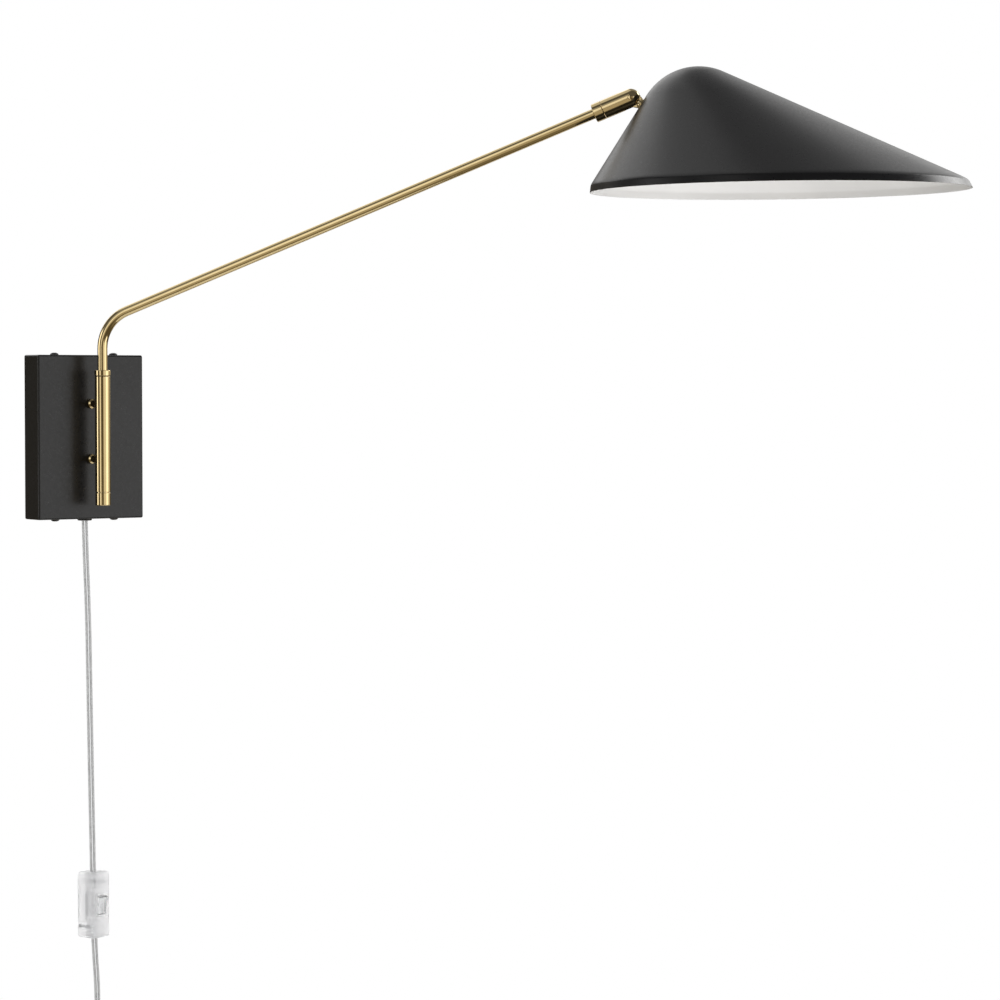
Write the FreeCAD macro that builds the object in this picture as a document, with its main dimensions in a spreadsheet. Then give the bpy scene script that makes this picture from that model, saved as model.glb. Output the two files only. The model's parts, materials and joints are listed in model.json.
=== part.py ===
import FreeCAD, Part

import math
import os
import re

import Sketcher
from FreeCAD import Placement, Rotation, Vector

# Swing arm wall sconce, in millimetres. The origin is the centre of the back face, on the wall.
# +X runs right along the wall, -Y points away from the wall and +Z points up.

SIZES = {
    # gaps and allowances
    "thread_clearance": 0.1, "hole_clearance": 0.4, "running_clearance": 0.05,
    "bush_clearance": 0.02, "wire_clearance": 0.3, "notch_clearance": 3, "cut_margin": 1,
    # backplate cover and wall bracket
    "plate_width": 117, "plate_height": 165, "plate_depth": 31, "plate_sheet": 1.2,
    "plate_edge_round": 1.5,
    "bracket_width": 96, "bracket_height": 162, "bracket_depth": 24, "bracket_sheet": 2,
    "wall_hole_spacing": 88.9, "wall_hole_diameter": 5.2,
    # cover screws
    "screw_spacing": 66, "screw_offset": 15.5, "screw_head_diameter": 8.5,
    "screw_head_height": 2.4, "screw_diameter": 4, "screw_length": 9,
    # cord bushing
    "bushing_flange_diameter": 14.5, "bushing_flange_height": 2, "bushing_diameter": 10.8,
    "bushing_height": 6, "bushing_bore": 5.6, "bushing_edge": 0.6,
    # posts, washers and nuts
    "post_upper_height": 33.5, "post_lower_height": -22, "post_diameter": 7,
    "post_foot_diameter": 9.6, "post_foot_height": 3.6, "post_foot_taper": 2.8,
    "spigot_diameter": 8, "spigot_length": 9, "post_bore": 5,
    "washer_diameter": 16, "washer_height": 1.2, "nut_across_flats": 13, "nut_height": 5,
    # pivot sleeve
    "pivot_offset": 56.3, "sleeve_diameter": 15.5, "sleeve_bore": 12.2,
    "sleeve_bottom": -54.5, "sleeve_top": 60.9,
    "bush_flange_diameter": 14.6, "bush_flange_height": 0.7, "bush_length": 12,
    "lower_bush_bottom": -8,
    "end_cap_diameter": 15.4, "end_cap_length": 12.7, "end_cap_neck": 0.8,
    "end_cap_neck_diameter": 13.4, "end_cap_spigot": 4, "end_cap_bore": 8,
    "end_cap_edge": 0.5, "end_cap_floor": 4,
    # terminal block
    "terminal_width": 18, "terminal_depth": 12, "terminal_height": 20,
    "terminal_place_x": -26, "terminal_place_y": -12, "terminal_place_z": -32,
    # arm
    "arm_diameter": 10, "arm_bore": 8, "arm_bottom": -10, "arm_corner_height": 115.9,
    "arm_elevation": 21.8, "arm_swing": 45, "bend_radius": 40, "arm_end": 539.5,
    "collar_diameter": 16.2, "collar_length": 5.4, "collar_gap": 0.05, "collar_edge": 0.4,
    "clip_diameter": 11.6, "clip_length": 1, "clip_drop": 1.3, "wire_diameter": 3.6,
    # knuckle, measured along the arm from its corner
    "knuckle_start": 535.5, "knuckle_diameter": 18.4, "knuckle_collar_length": 9.4,
    "knuckle_gap": 0.4, "knuckle_pivot": 574, "chamber_diameter": 13, "chamber_length": 3.4,
    "swivel_diameter": 7, "swivel_length": 4.9, "swivel_bore": 4.4,
    "swivel_clip_diameter": 11, "swivel_clip_start": 541.7,
    "slot_width": 6.2, "slot_behind": 9.2, "pin_diameter": 4, "pin_length": 17.6,
    # tongue and what hangs on it, measured from the tilt pivot
    "stem_drop": 31.55, "tongue_diameter": 17.5, "tongue_thickness": 5.8,
    "stem_start": 10.6, "stem_diameter": 10, "seat_start": 11.78, "seat_diameter": 12,
    "nipple_diameter": 9.7, "nipple_end": 27.8, "nipple_bore": 4.4, "nipple_bore_start": 10,
    "stem_nut_start": 14.5, "stem_nut_flats": 14, "stem_nut_height": 4,
    "holder_start": 19, "holder_diameter": 37, "holder_wall": 4, "holder_cap_length": 9.6,
    "holder_length": 36, "holder_floor": 3, "holder_edge": 3, "screw_shell_start": 36.8,
    "screw_shell_length": 25, "screw_shell_diameter": 27.8, "screw_shell_wall": 0.5,
    "contact_diameter": 8, "contact_height": 3, "bulb_start": 35.8,
    "bulb_base_diameter": 25.6, "bulb_base_length": 24, "bulb_tip_radius": 4,
    "bulb_base_edge": 3, "bulb_end": 113.3, "bulb_diameter": 45, "bulb_neck_diameter": 26,
    "bulb_glass": 1,
    # shade, in a frame at the centre of its rim
    "shade_centre_reach": 677.5, "shade_centre_height": 238.3, "shade_nose_up": 0.45,
    "shade_roll": 0.72, "rim_radius": 182.4, "lip_height": 7.5, "shade_sheet": 1,
    "dome_centre": -78.5, "dome_height": 61.75, "dome_radius": 58.6,
    "steep_slope": 58, "shallow_slope": 24.8,
    # cord and inline switch
    "cord_diameter": 6.2, "lead_diameter": 3.6, "jacket_diameter": 5.4,
    "switch_width": 25, "switch_thickness": 24, "switch_length": 66.4,
    "switch_turn": 20, "switch_place_x": 7.9, "switch_place_z": -475.1,
    "switch_corner": 4, "switch_end_round": 2.5,
    "switch_chamber_depth": 14, "switch_chamber_margin": 4,
    "case_screw_across": 8.5, "case_screw_up": 22, "case_screw_head": 4.6,
    "case_screw_head_height": 1.4, "case_screw_shank": 2.4, "case_screw_length": 16,
    "case_screw_sink": 1.6,
    "strip_width": 3, "strip_sheet": 1, "strip_length": 24, "strip_across": 3.5,
    "strip_back": 4.5,
    "rocker_opening_width": 13.4, "rocker_opening_length": 23, "rocker_width": 12.4,
    "rocker_length": 19.6, "rocker_axle_depth": 5.5, "rocker_axle": 2.4,
    "rocker_axle_length": 15.4, "rocker_rest_tilt": 8, "rocker_back": 1, "rocker_edge": 5.6,
    "rocker_crest": 7, "rocker_crest_inset": 0.8, "rocker_waist": 5.9,
    # hank and plug
    "hank_radius": 27.2, "hank_band": 10, "hank_half_run": 27, "hank_depth": 12.8,
    "hank_place_x": 12, "hank_place_y": -7.4, "hank_place_z": -637.2,
    "tie_width": 5, "tie_sheet": 0.8,
    "plug_width": 24, "plug_thickness": 15, "plug_length": 30, "plug_neck": 9,
    "plug_place_z": -700, "blade_spacing": 12.7, "blade_width": 6.35, "blade_thickness": 1.5,
    "blade_length": 16,
}

# Routes of the cord and the leads, as points in the row frame.
CORD_UPPER = [
    (0.0, -15.5, -84.5), (0.8, -15.5, -118), (3.3, -15.4, -175), (4.4, -15.6, -255),
    (5.7, -15.4, -335), (6.7, -15.5, -395), (7.5, -15.5, -441.9),
]
CORD_LOWER = [
    (8.7, -15.5, -508.3), (9.4, -15.5, -526), (11.5, -15.4, -554), (12.0, -15.5, -584.5),
]
CORD_TAIL = [(12.0, -15.5, -689.5), (12.0, -15.5, -700)]
SUPPLY_LEAD = [
    (0, -15.5, -84.5), (0, -15.5, -68), (-8, -14, -58), (-20, -13, -50), (-26, -12, -40),
    (-26, -12, -32),
]
LAMP_LEAD = [
    (-26, -12, -12), (-26, -12.2, -3), (-18, -13, 2.5), (-7, -13.2, -2), (-1, -13.8, -13),
    (0, -19.5, -21.5), (0, -32, -22), (0, -42.3, -21.8), (0, -53.3, -21), (0, -56.3, -17),
    (0, -56.3, -10.4),
]

DOC = FreeCAD.newDocument("SwingArmSconce")


def make_sheet():
    """Puts every driving dimension in one spreadsheet, each under its own alias."""
    sheet = DOC.addObject("Spreadsheet::Sheet", "sizes")
    for row, (alias, number) in enumerate(SIZES.items(), start=1):
        sheet.set(f"A{row}", alias)
        sheet.set(f"B{row}", str(number))
        sheet.setAlias(f"B{row}", alias)
    DOC.recompute()
    return sheet


SHEET = make_sheet()


# ---------------------------------------------------------------- helpers


def value(expression):
    """The number that an expression in the sheet's aliases stands for."""
    return float(SHEET.evalExpression(expression))


def bind(thing, prop, expression):
    """Binds a property to an expression in the sheet's aliases, each of which has an underscore."""
    thing.setExpression(prop, re.sub(r"\b([a-z]+_[a-z_]+)\b", r"sizes.\1", expression))


def named(piece, label):
    piece.Label = label
    return piece


def new_sketch(body, plane, label, offset="0"):
    """A sketch on one of the body's own origin planes, moved along its normal by offset."""
    sketch = body.newObject("Sketcher::SketchObject", label)
    support = next(f for f in body.Origin.OriginFeatures if f.Role == plane)
    sketch.AttachmentSupport = [(support, "")]
    sketch.MapMode = "FlatFace"
    bind(sketch, "AttachmentOffset.Base.z", offset)
    return sketch


def hold(sketch, geometry, point, across, up):
    """Fixes one point of a sketch at two expressions, measured from the sketch's origin."""
    for kind, expression in (("DistanceX", across), ("DistanceY", up)):
        rule = Sketcher.Constraint(kind, -1, 1, geometry, point, value(expression))
        index = sketch.addConstraint(rule)
        bind(sketch, f"Constraints[{index}]", expression)


def outline(sketch, corners):
    """A closed outline of straight lines through corners, pairs of expressions."""
    first = sketch.GeometryCount
    points = [Vector(value(across), value(up), 0) for across, up in corners]
    for start, end in zip(points, points[1:] + points[:1]):
        sketch.addGeometry(Part.LineSegment(start, end))
    count = len(corners)
    for i in range(count):
        after = first + (i + 1) % count
        sketch.addConstraint(Sketcher.Constraint("Coincident", first + i, 2, after, 1))
    for i, (across, up) in enumerate(corners):
        hold(sketch, first + i, 1, across, up)


def rectangle(sketch, width, height, low="", left=""):
    """A rectangle about the sketch's origin, or from low upwards and left rightwards."""
    left = left or f"-({width}) / 2"
    low = low or f"-({height}) / 2"
    right, high = f"{left} + {width}", f"{low} + {height}"
    outline(sketch, [(left, low), (right, low), (right, high), (left, high)])


def circle(sketch, diameter, across="0", up="0"):
    """A circle at a place given by two expressions."""
    centre = Vector(value(across), value(up), 0)
    ring = sketch.addGeometry(Part.Circle(centre, Vector(0, 0, 1), value(diameter) / 2))
    hold(sketch, ring, 3, across, up)
    index = sketch.addConstraint(Sketcher.Constraint("Diameter", ring, value(diameter)))
    bind(sketch, f"Constraints[{index}]", diameter)


def new_body(label):
    return named(DOC.addObject("PartDesign::Body", label), label)


def pad(body, sketch, length, both_ways=False):
    """Adds the sketch's outline to the body, along the sketch's normal."""
    feature = body.newObject("PartDesign::Pad", sketch.Name + "_pad")
    feature.Profile = sketch
    feature.Midplane = both_ways
    bind(feature, "Length", length)
    return feature


def pocket(body, sketch, length, along_normal=False, both_ways=False):
    """Cuts the sketch's outline from the body and makes sure that it took something away."""
    DOC.recompute()
    before = body.Shape.Volume
    feature = body.newObject("PartDesign::Pocket", sketch.Name + "_pocket")
    feature.Profile = sketch
    feature.Reversed = along_normal
    feature.Midplane = both_ways
    bind(feature, "Length", length)
    DOC.recompute()
    if body.Shape.Volume > before - 0.01:
        raise RuntimeError(f"{feature.Name} cuts nothing")
    return feature


def fillet(body, feature, radius, wanted):
    """Rounds the feature's edges for which wanted(edge) is true."""
    DOC.recompute()
    edges = feature.Shape.Edges
    chosen = [f"Edge{i}" for i, edge in enumerate(edges, start=1) if wanted(edge)]
    rounding = body.newObject("PartDesign::Fillet", feature.Name + "_round")
    rounding.Base = (feature, chosen)
    bind(rounding, "Radius", radius)
    return rounding


def turned(label, corners, where=Placement()):
    """A piece turned about its own Z axis, from corners of (radius, height)."""
    body = new_body(label)
    sketch = new_sketch(body, "XZ_Plane", label + "_outline")
    outline(sketch, corners)
    turn = body.newObject("PartDesign::Revolution", label + "_turn")
    turn.Profile = sketch
    turn.ReferenceAxis = (sketch, ["V_Axis"])
    turn.Angle = 360
    body.Placement = where
    return body


def cylinder(label, diameter, height, where=Placement()):
    solid = named(DOC.addObject("Part::Cylinder", label), label)
    bind(solid, "Radius", f"({diameter}) / 2")
    bind(solid, "Height", height)
    solid.Placement = where
    return solid


def block(label, length, width, height, where=Placement()):
    """A box that stands on the middle of its lower face."""
    solid = named(DOC.addObject("Part::Box", label), label)
    for prop, expression in (("Length", length), ("Width", width), ("Height", height)):
        bind(solid, prop, expression)
    centring = Vector(-value(length) / 2, -value(width) / 2, 0)
    solid.Placement = where.multiply(Placement(centring, Rotation()))
    return solid


def sphere(label, diameter, where):
    solid = named(DOC.addObject("Part::Sphere", label), label)
    bind(solid, "Radius", f"({diameter}) / 2")
    solid.Placement = where
    return solid


def cut(label, base, *tools):
    """The base with each tool cut away in turn."""
    for i, tool in enumerate(tools):
        last = i == len(tools) - 1
        result = DOC.addObject("Part::Cut", label if last else f"{label}_cut_{i}")
        result.Base = base
        result.Tool = tool
        base = result
    return named(base, label)


def fused(label, *pieces):
    result = DOC.addObject("Part::MultiFuse", label)
    result.Shapes = list(pieces)
    return named(result, label)


def group(label, *pieces):
    """Separate solids that share one node."""
    result = DOC.addObject("Part::Compound", label)
    result.Links = list(pieces)
    return named(result, label)


def ring(label, outer, inner, height, where=Placement()):
    """A plain ring or tube, turned about its own Z axis from z = 0."""
    inner_radius, outer_radius = f"({inner}) / 2", f"({outer}) / 2"
    corners = [(inner_radius, "0"), (outer_radius, "0"), (outer_radius, height)]
    return turned(label, corners + [(inner_radius, height)], where)


def hexagon(label, across_flats, bore, height, where):
    """A hexagonal nut."""
    blank = DOC.addObject("Part::Prism", label + "_blank")
    blank.Polygon = 6
    bind(blank, "Circumradius", f"({across_flats}) / 2 / cos(30)")
    bind(blank, "Height", height)
    blank.Placement = where
    return cut(label, blank, cylinder(label + "_bore", bore, height, where))


# ---------------------------------------------------------------- frames


def at(x="0", y="0", z="0", rotation=Rotation()):
    return Placement(Vector(value(x), value(y), value(z)), rotation)


def along_z(distance):
    return Placement(Vector(0, 0, distance), Rotation())


OUTWARD = Rotation(Vector(1, 0, 0), 90)  # turns a piece's Z axis away from the wall
ARM_AZIMUTH = Rotation(Vector(0, 0, 1), -value("arm_swing"))


def in_arm_plane(reach, height, lean):
    """A frame in the arm's upright plane, with its Z axis leaning forward by lean degrees."""
    place = ARM_AZIMUTH.multVec(Vector(reach, 0, 0)) + Vector(0, -value("pivot_offset"), height)
    return Placement(place, ARM_AZIMUTH.multiply(Rotation(Vector(0, 1, 0), lean)))


def on_arm(distance):
    """A frame on the arm's straight part, its Z axis along it, distance from the corner."""
    elevation = math.radians(value("arm_elevation"))
    reach = distance * math.cos(elevation)
    height = value("arm_corner_height") + distance * math.sin(elevation)
    return in_arm_plane(reach, height, 90 - value("arm_elevation"))


def on_stem(distance):
    """A frame on the shade's stem, its Z axis into the shade, distance from the tilt pivot."""
    pivot = on_arm(value("knuckle_pivot")).Base
    stem = ARM_AZIMUTH.multiply(Rotation(Vector(0, 1, 0), 90 + value("stem_drop")))
    return Placement(pivot, stem).multiply(along_z(distance))


def at_shade():
    """The shade's frame: the rim's centre, X towards the nose."""
    height = value("shade_centre_height")
    level = in_arm_plane(value("shade_centre_reach"), height, -value("shade_nose_up"))
    roll = Rotation(Vector(1, 0, 0), value("shade_roll"))
    return level.multiply(Placement(Vector(), roll))


def at_switch():
    """The inline switch's frame: its centre, -Y out of its wide face."""
    rotation = Rotation(Vector(0, 0, 1), value("switch_turn"))
    return at("switch_place_x", "-screw_offset", "switch_place_z", rotation)


# ---------------------------------------------------------------- wall mount


def wall_bracket():
    """A bent steel strip: a back plate with a flange above and below."""
    body = new_body("wall_bracket")
    top, out, sheet = "bracket_height / 2", "-bracket_depth", "bracket_sheet"
    profile = new_sketch(body, "YZ_Plane", "bracket_profile")
    outline(profile, [
        ("0", f"-{top}"), (out, f"-{top}"), (out, f"-{top} + {sheet}"),
        (f"-{sheet}", f"-{top} + {sheet}"), (f"-{sheet}", f"{top} - {sheet}"),
        (out, f"{top} - {sheet}"), (out, top), ("0", top),
    ])
    pad(body, profile, "bracket_width", both_ways=True)
    wall = new_sketch(body, "XZ_Plane", "bracket_wall_holes")
    for up in ("-wall_hole_spacing / 2", "wall_hole_spacing / 2"):
        circle(wall, "wall_hole_diameter", "0", up)
    pocket(body, wall, "2 * bracket_sheet + cut_margin", both_ways=True)
    flanges = new_sketch(body, "XY_Plane", "bracket_screw_holes")
    for across in ("-screw_spacing / 2", "screw_spacing / 2"):
        circle(flanges, "screw_diameter + thread_clearance", across, "-screw_offset")
    pocket(body, flanges, "bracket_height + 2 * cut_margin", both_ways=True)
    notch = new_sketch(body, "XY_Plane", "bracket_cord_notch")
    circle(notch, "bushing_diameter + notch_clearance", "0", "-screw_offset")
    pocket(body, notch, "bracket_height / 2 + cut_margin")
    return body


def backplate_cover():
    """A folded black cover, open towards the wall."""
    body = new_body("backplate_cover")
    face = new_sketch(body, "XZ_Plane", "cover_face")
    rectangle(face, "plate_width", "plate_height")
    shell = pad(body, face, "plate_depth")
    depth = value("plate_depth")
    fillet(body, shell, "plate_edge_round", lambda edge: edge.BoundBox.YMin < -depth / 2)
    inside = new_sketch(body, "XZ_Plane", "cover_inside")
    rectangle(inside, "plate_width - 2 * plate_sheet", "plate_height - 2 * plate_sheet")
    pocket(body, inside, "plate_depth - plate_sheet", along_normal=True)
    front = new_sketch(body, "XZ_Plane", "cover_post_holes", "plate_depth - 2 * plate_sheet")
    for up in ("post_upper_height", "post_lower_height"):
        circle(front, "spigot_diameter + hole_clearance", "0", up)
    pocket(body, front, "3 * plate_sheet", along_normal=True)
    edges = new_sketch(body, "XY_Plane", "cover_screw_holes")
    for across in ("-screw_spacing / 2", "screw_spacing / 2"):
        circle(edges, "screw_diameter + hole_clearance", across, "-screw_offset")
    pocket(body, edges, "plate_height + 2 * cut_margin", both_ways=True)
    exit_hole = new_sketch(body, "XY_Plane", "cover_cord_hole")
    circle(exit_hole, "bushing_diameter + thread_clearance", "0", "-screw_offset")
    pocket(body, exit_hole, "plate_height / 2 + cut_margin")
    return body


def cover_screws():
    """Four dome-head screws, two in the top edge and two in the bottom edge."""
    place = at("screw_spacing / 2", "-screw_offset", "plate_height / 2")
    head = "screw_head_diameter / 2"
    screw = turned("cover_screw", [
        ("0", "-screw_length"), ("screw_diameter / 2", "-screw_length"),
        ("screw_diameter / 2", "0"), (head, "0"), (head, "screw_head_height * 0.3"),
        (f"{head} * 0.8", "screw_head_height * 0.75"),
        (f"{head} * 0.4", "screw_head_height"), ("0", "screw_head_height"),
    ], place)
    top = group("top_screws", screw, mirrored(screw, Vector(1, 0, 0)))
    return group("cover_screws", top, mirrored(top, Vector(0, 0, 1)))


def mirrored(piece, normal):
    """The piece's mirror image in a plane through the origin."""
    image = DOC.addObject("Part::Mirroring", piece.Name + "_mirrored")
    image.Source = piece
    image.Base = Vector()
    image.Normal = normal
    return image


def cord_bushing():
    """A nylon bushing that the cord leaves the cover through."""
    bore, barrel = "bushing_bore / 2", "bushing_diameter / 2"
    flange = "bushing_flange_diameter / 2"
    return turned("cord_bushing", [
        (bore, "-bushing_flange_height"),
        (f"{flange} - bushing_edge", "-bushing_flange_height"),
        (flange, "-bushing_flange_height + bushing_edge"), (flange, "0"), (barrel, "0"),
        (barrel, "bushing_height"), (bore, "bushing_height"),
    ], at("0", "-screw_offset", "-plate_height / 2"))


def post(label, height):
    """A brass post from the cover to the sleeve: a threaded spigot, a domed foot and a barrel."""
    bore, spigot = "post_bore / 2", "spigot_diameter / 2"
    foot, barrel = "post_foot_diameter / 2", "post_diameter / 2"
    shoulder, reach = "post_foot_height + post_foot_taper", "pivot_offset - plate_depth"
    blank = turned(label + "_blank", [
        (bore, "-spigot_length"), (spigot, "-spigot_length"), (spigot, "0"), (foot, "0"),
        (foot, "post_foot_height"), (f"({foot} + {barrel}) / 2", f"{shoulder} - plate_sheet"),
        (barrel, shoulder), (barrel, reach), (bore, reach),
    ], at("0", "-plate_depth", height, OUTWARD))
    saddle = cylinder(label + "_saddle", "sleeve_diameter", "2 * post_diameter",
                      at("0", "-pivot_offset", f"{height} - post_diameter"))
    return cut(label, blank, saddle)


def post_washers():
    start = "-(plate_depth - plate_sheet - washer_height)"
    heights = {"upper": "post_upper_height", "lower": "post_lower_height"}
    return group("post_washers", *[
        ring(f"{side}_washer", "washer_diameter", "spigot_diameter + hole_clearance", "washer_height",
             at("0", start, height, OUTWARD))
        for side, height in heights.items()
    ])


def post_nuts():
    start = "-(plate_depth - plate_sheet - washer_height - nut_height)"
    heights = {"upper": "post_upper_height", "lower": "post_lower_height"}
    return group("post_nuts", *[
        hexagon(f"{side}_nut", "nut_across_flats", "spigot_diameter + thread_clearance", "nut_height",
                at("0", start, height, OUTWARD))
        for side, height in heights.items()
    ])


def pivot_sleeve():
    """The upright brass tube that the arm turns in, with a wire hole from the lower post."""
    tube = ring("sleeve_tube", "sleeve_diameter", "sleeve_bore", "sleeve_top - sleeve_bottom",
                at("0", "-pivot_offset", "sleeve_bottom"))
    wire_hole = cylinder("sleeve_wire_hole", "post_bore", "sleeve_diameter",
                         at("0", "-pivot_offset + sleeve_diameter", "post_lower_height", OUTWARD))
    return cut("pivot_sleeve", tube, wire_hole)


def sleeve_top_bush():
    """A flanged nylon bush between the sleeve and the arm."""
    bore = "arm_diameter / 2 + running_clearance"
    barrel = "sleeve_bore / 2 - bush_clearance"
    flange = "bush_flange_diameter / 2"
    return turned("sleeve_top_bush", [
        (bore, "-bush_length"), (barrel, "-bush_length"), (barrel, "0"), (flange, "0"),
        (flange, "bush_flange_height"), (bore, "bush_flange_height"),
    ], at("0", "-pivot_offset", "sleeve_top"))


def sleeve_bottom_bush():
    return ring("sleeve_bottom_bush", "sleeve_bore - 2 * bush_clearance",
                "arm_diameter + 2 * running_clearance", "bush_length",
                at("0", "-pivot_offset", "lower_bush_bottom"))


def sleeve_end_cap():
    """The screwed brass cap under the sleeve, with a fine neck above it."""
    outer, neck = "end_cap_diameter / 2", "end_cap_neck_diameter / 2"
    spigot = "sleeve_bore / 2 - bush_clearance"
    edge, floor, top = "end_cap_edge", "end_cap_floor", "end_cap_length + end_cap_neck"
    return turned("sleeve_end_cap", [
        ("0", "0"), (f"{outer} - {edge}", "0"), (outer, edge), (outer, "end_cap_length"),
        (neck, "end_cap_length"), (neck, top), (spigot, top),
        (spigot, f"{top} + end_cap_spigot"), ("end_cap_bore / 2", f"{top} + end_cap_spigot"),
        ("end_cap_bore / 2", floor), ("0", floor),
    ], at("0", "-pivot_offset", "sleeve_bottom - end_cap_neck - end_cap_length"))


# ---------------------------------------------------------------- wires and cords


def rounded_wire(label, points):
    """Straight runs joined by tangent arcs, each as large as its two runs allow."""
    points = [Vector(*point) for point in points]
    edges, start, radii = [], points[0], []
    for before, corner, after in zip(points, points[1:], points[2:]):
        arriving, leaving = (corner - before), (after - corner)
        trim = 0.45 * min(arriving.Length, leaving.Length)
        half_turn = arriving.getAngle(leaving) / 2
        radius = trim / math.tan(half_turn)
        arriving.normalize()
        leaving.normalize()
        inward = (leaving - arriving).normalize()
        first, last = corner - arriving * trim, corner + leaving * trim
        middle = corner + inward * (radius / math.cos(half_turn) - radius)
        edges.append(Part.LineSegment(start, first).toShape())
        edges.append(Part.Arc(first, middle, last).toShape())
        start = last
        radii.append(round(radius, 1))
    edges.append(Part.LineSegment(start, points[-1]).toShape())
    wire = Part.Wire(edges)
    print(f"{label}: {wire.Length:.1f} mm long, bend radii {radii}")
    return wire


def tube(label, points, diameter):
    """A plain round cord along a route."""
    radius = value(diameter) / 2
    path = rounded_wire(label, points)
    start, heading = path.Vertexes[0].Point, path.Edges[0].tangentAt(0)
    section = Part.Wire(Part.Circle(start, heading, radius).toShape())
    solid = path.makePipeShell([section], True, True)
    expected = math.pi * radius**2 * path.Length
    if abs(solid.Volume / expected - 1) > 0.01:
        raise RuntimeError(f"{label} has volume {solid.Volume:.1f}, not {expected:.1f}")
    piece = DOC.addObject("Part::Feature", label)
    piece.Shape = solid
    return named(piece, label)


def terminal_block():
    place = at("terminal_place_x", "terminal_place_y", "terminal_place_z")
    return block("terminal_block", "terminal_width", "terminal_depth", "terminal_height", place)


# ---------------------------------------------------------------- arm


def arm_route(body, label):
    """The arm's centreline as a sketch: up the pivot, round the bend and out along the arm."""
    lean = 90 - value("arm_elevation")
    bend = value("bend_radius")
    tangent = "bend_radius * tan((90 - arm_elevation) / 2)"
    bend_start = f"arm_corner_height - {tangent}"
    run = value(f"arm_end - {tangent}")
    sketch = new_sketch(body, "XZ_Plane", label)
    centre = Vector(bend, value(bend_start), 0)
    turn = math.radians(180 - lean)
    arc_end = centre + Vector(math.cos(turn), math.sin(turn), 0) * bend
    slope = math.radians(value("arm_elevation"))
    tip = arc_end + Vector(math.cos(slope), math.sin(slope), 0) * run
    low = Vector(0, value("arm_bottom"), 0)
    circle_arc = Part.ArcOfCircle(Part.Circle(centre, Vector(0, 0, 1), bend), turn, math.pi)
    sketch.addGeometry(Part.LineSegment(low, Vector(0, centre.y, 0)))
    sketch.addGeometry(circle_arc)
    sketch.addGeometry(Part.LineSegment(arc_end, tip))
    sketch.addConstraint(Sketcher.Constraint("Coincident", 0, 2, 1, 2))
    sketch.addConstraint(Sketcher.Constraint("Coincident", 1, 1, 2, 1))
    hold(sketch, 0, 1, "0", "arm_bottom")
    hold(sketch, 0, 2, "0", bend_start)
    radius = sketch.addConstraint(Sketcher.Constraint("Radius", 1, bend))
    bind(sketch, f"Constraints[{radius}]", "bend_radius")
    hold(sketch, 1, 1, "bend_radius - bend_radius * sin(arm_elevation)",
         f"{bend_start} + bend_radius * cos(arm_elevation)")
    hold(sketch, 2, 2, "arm_end * cos(arm_elevation)",
         "arm_corner_height + arm_end * sin(arm_elevation)")
    return sketch


def arm_pipe(label, *diameters):
    """A pipe of the given diameters along the arm's centreline."""
    body = new_body(label)
    route = arm_route(body, label + "_route")
    section = new_sketch(body, "XY_Plane", label + "_section", "arm_bottom")
    for diameter in diameters:
        circle(section, diameter)
    DOC.recompute()
    pipe = body.newObject("PartDesign::AdditivePipe", label + "_pipe")
    pipe.Profile = section
    pipe.Spine = (route, [])
    body.Placement = in_arm_plane(0, 0, 0)
    return body


def arm_collar():
    """The brass collar that carries the arm on the sleeve's top bush."""
    outer, bore = "collar_diameter / 2", "arm_diameter / 2 + bush_clearance"
    place = "sleeve_top + bush_flange_height + collar_gap"
    return turned("arm_collar", [
        (bore, "0"), (outer, "0"), (outer, "collar_length - collar_edge"),
        (f"{outer} - collar_edge", "collar_length"), (bore, "collar_length"),
    ], at("0", "-pivot_offset", place))


def arm_clip():
    """The snap ring under the lower bush, which keeps the arm in the sleeve."""
    return ring("arm_clip", "clip_diameter", "arm_diameter + 2 * bush_clearance", "clip_length",
                at("0", "-pivot_offset", "lower_bush_bottom - clip_drop"))


def knuckle_collar():
    """The collar brazed to the arm's end, with a chamber for the swivel's snap ring."""
    outer, tube_bore = "knuckle_diameter / 2", "arm_diameter / 2 + bush_clearance"
    chamber, edge = "chamber_diameter / 2", "collar_edge"
    swivel = "swivel_diameter / 2 + running_clearance"
    floor = "arm_end - knuckle_start"
    web = f"{floor} + chamber_length"
    end = "knuckle_collar_length"
    return turned("knuckle_collar", [
        (tube_bore, "0"), (f"{outer} - {edge}", "0"), (outer, edge), (outer, end),
        (swivel, end), (swivel, web), (chamber, web), (chamber, floor), (tube_bore, floor),
    ], on_arm(value("knuckle_start")))


# ---------------------------------------------------------------- knuckle


def knuckle_body():
    """The rolling half of the joint: a barrel with a round end, slotted for the tongue."""
    start = value("knuckle_start + knuckle_collar_length + knuckle_gap")
    pivot = value("knuckle_pivot")
    barrel = cylinder("knuckle_barrel", "knuckle_diameter",
                      "knuckle_pivot - knuckle_start - knuckle_collar_length - knuckle_gap",
                      on_arm(start))
    dome = sphere("knuckle_dome", "knuckle_diameter", on_arm(pivot))
    swivel = cylinder("knuckle_swivel", "swivel_diameter", "swivel_length + knuckle_diameter / 2",
                      on_arm(start - value("swivel_length")))
    bore = cylinder("knuckle_bore", "swivel_bore", "knuckle_diameter * 2",
                    on_arm(start - value("swivel_length")))
    slot = block("knuckle_slot", "knuckle_diameter + 2 * cut_margin", "slot_width",
                 "slot_behind + knuckle_diameter", on_arm(pivot - value("slot_behind")))
    width = "knuckle_diameter + 2 * cut_margin"
    pin_hole = cylinder("knuckle_pin_hole", "pin_diameter", width, across_pivot(width))
    return cut("knuckle_body", fused("knuckle_blank", barrel, dome, swivel), bore, slot, pin_hole)


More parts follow.
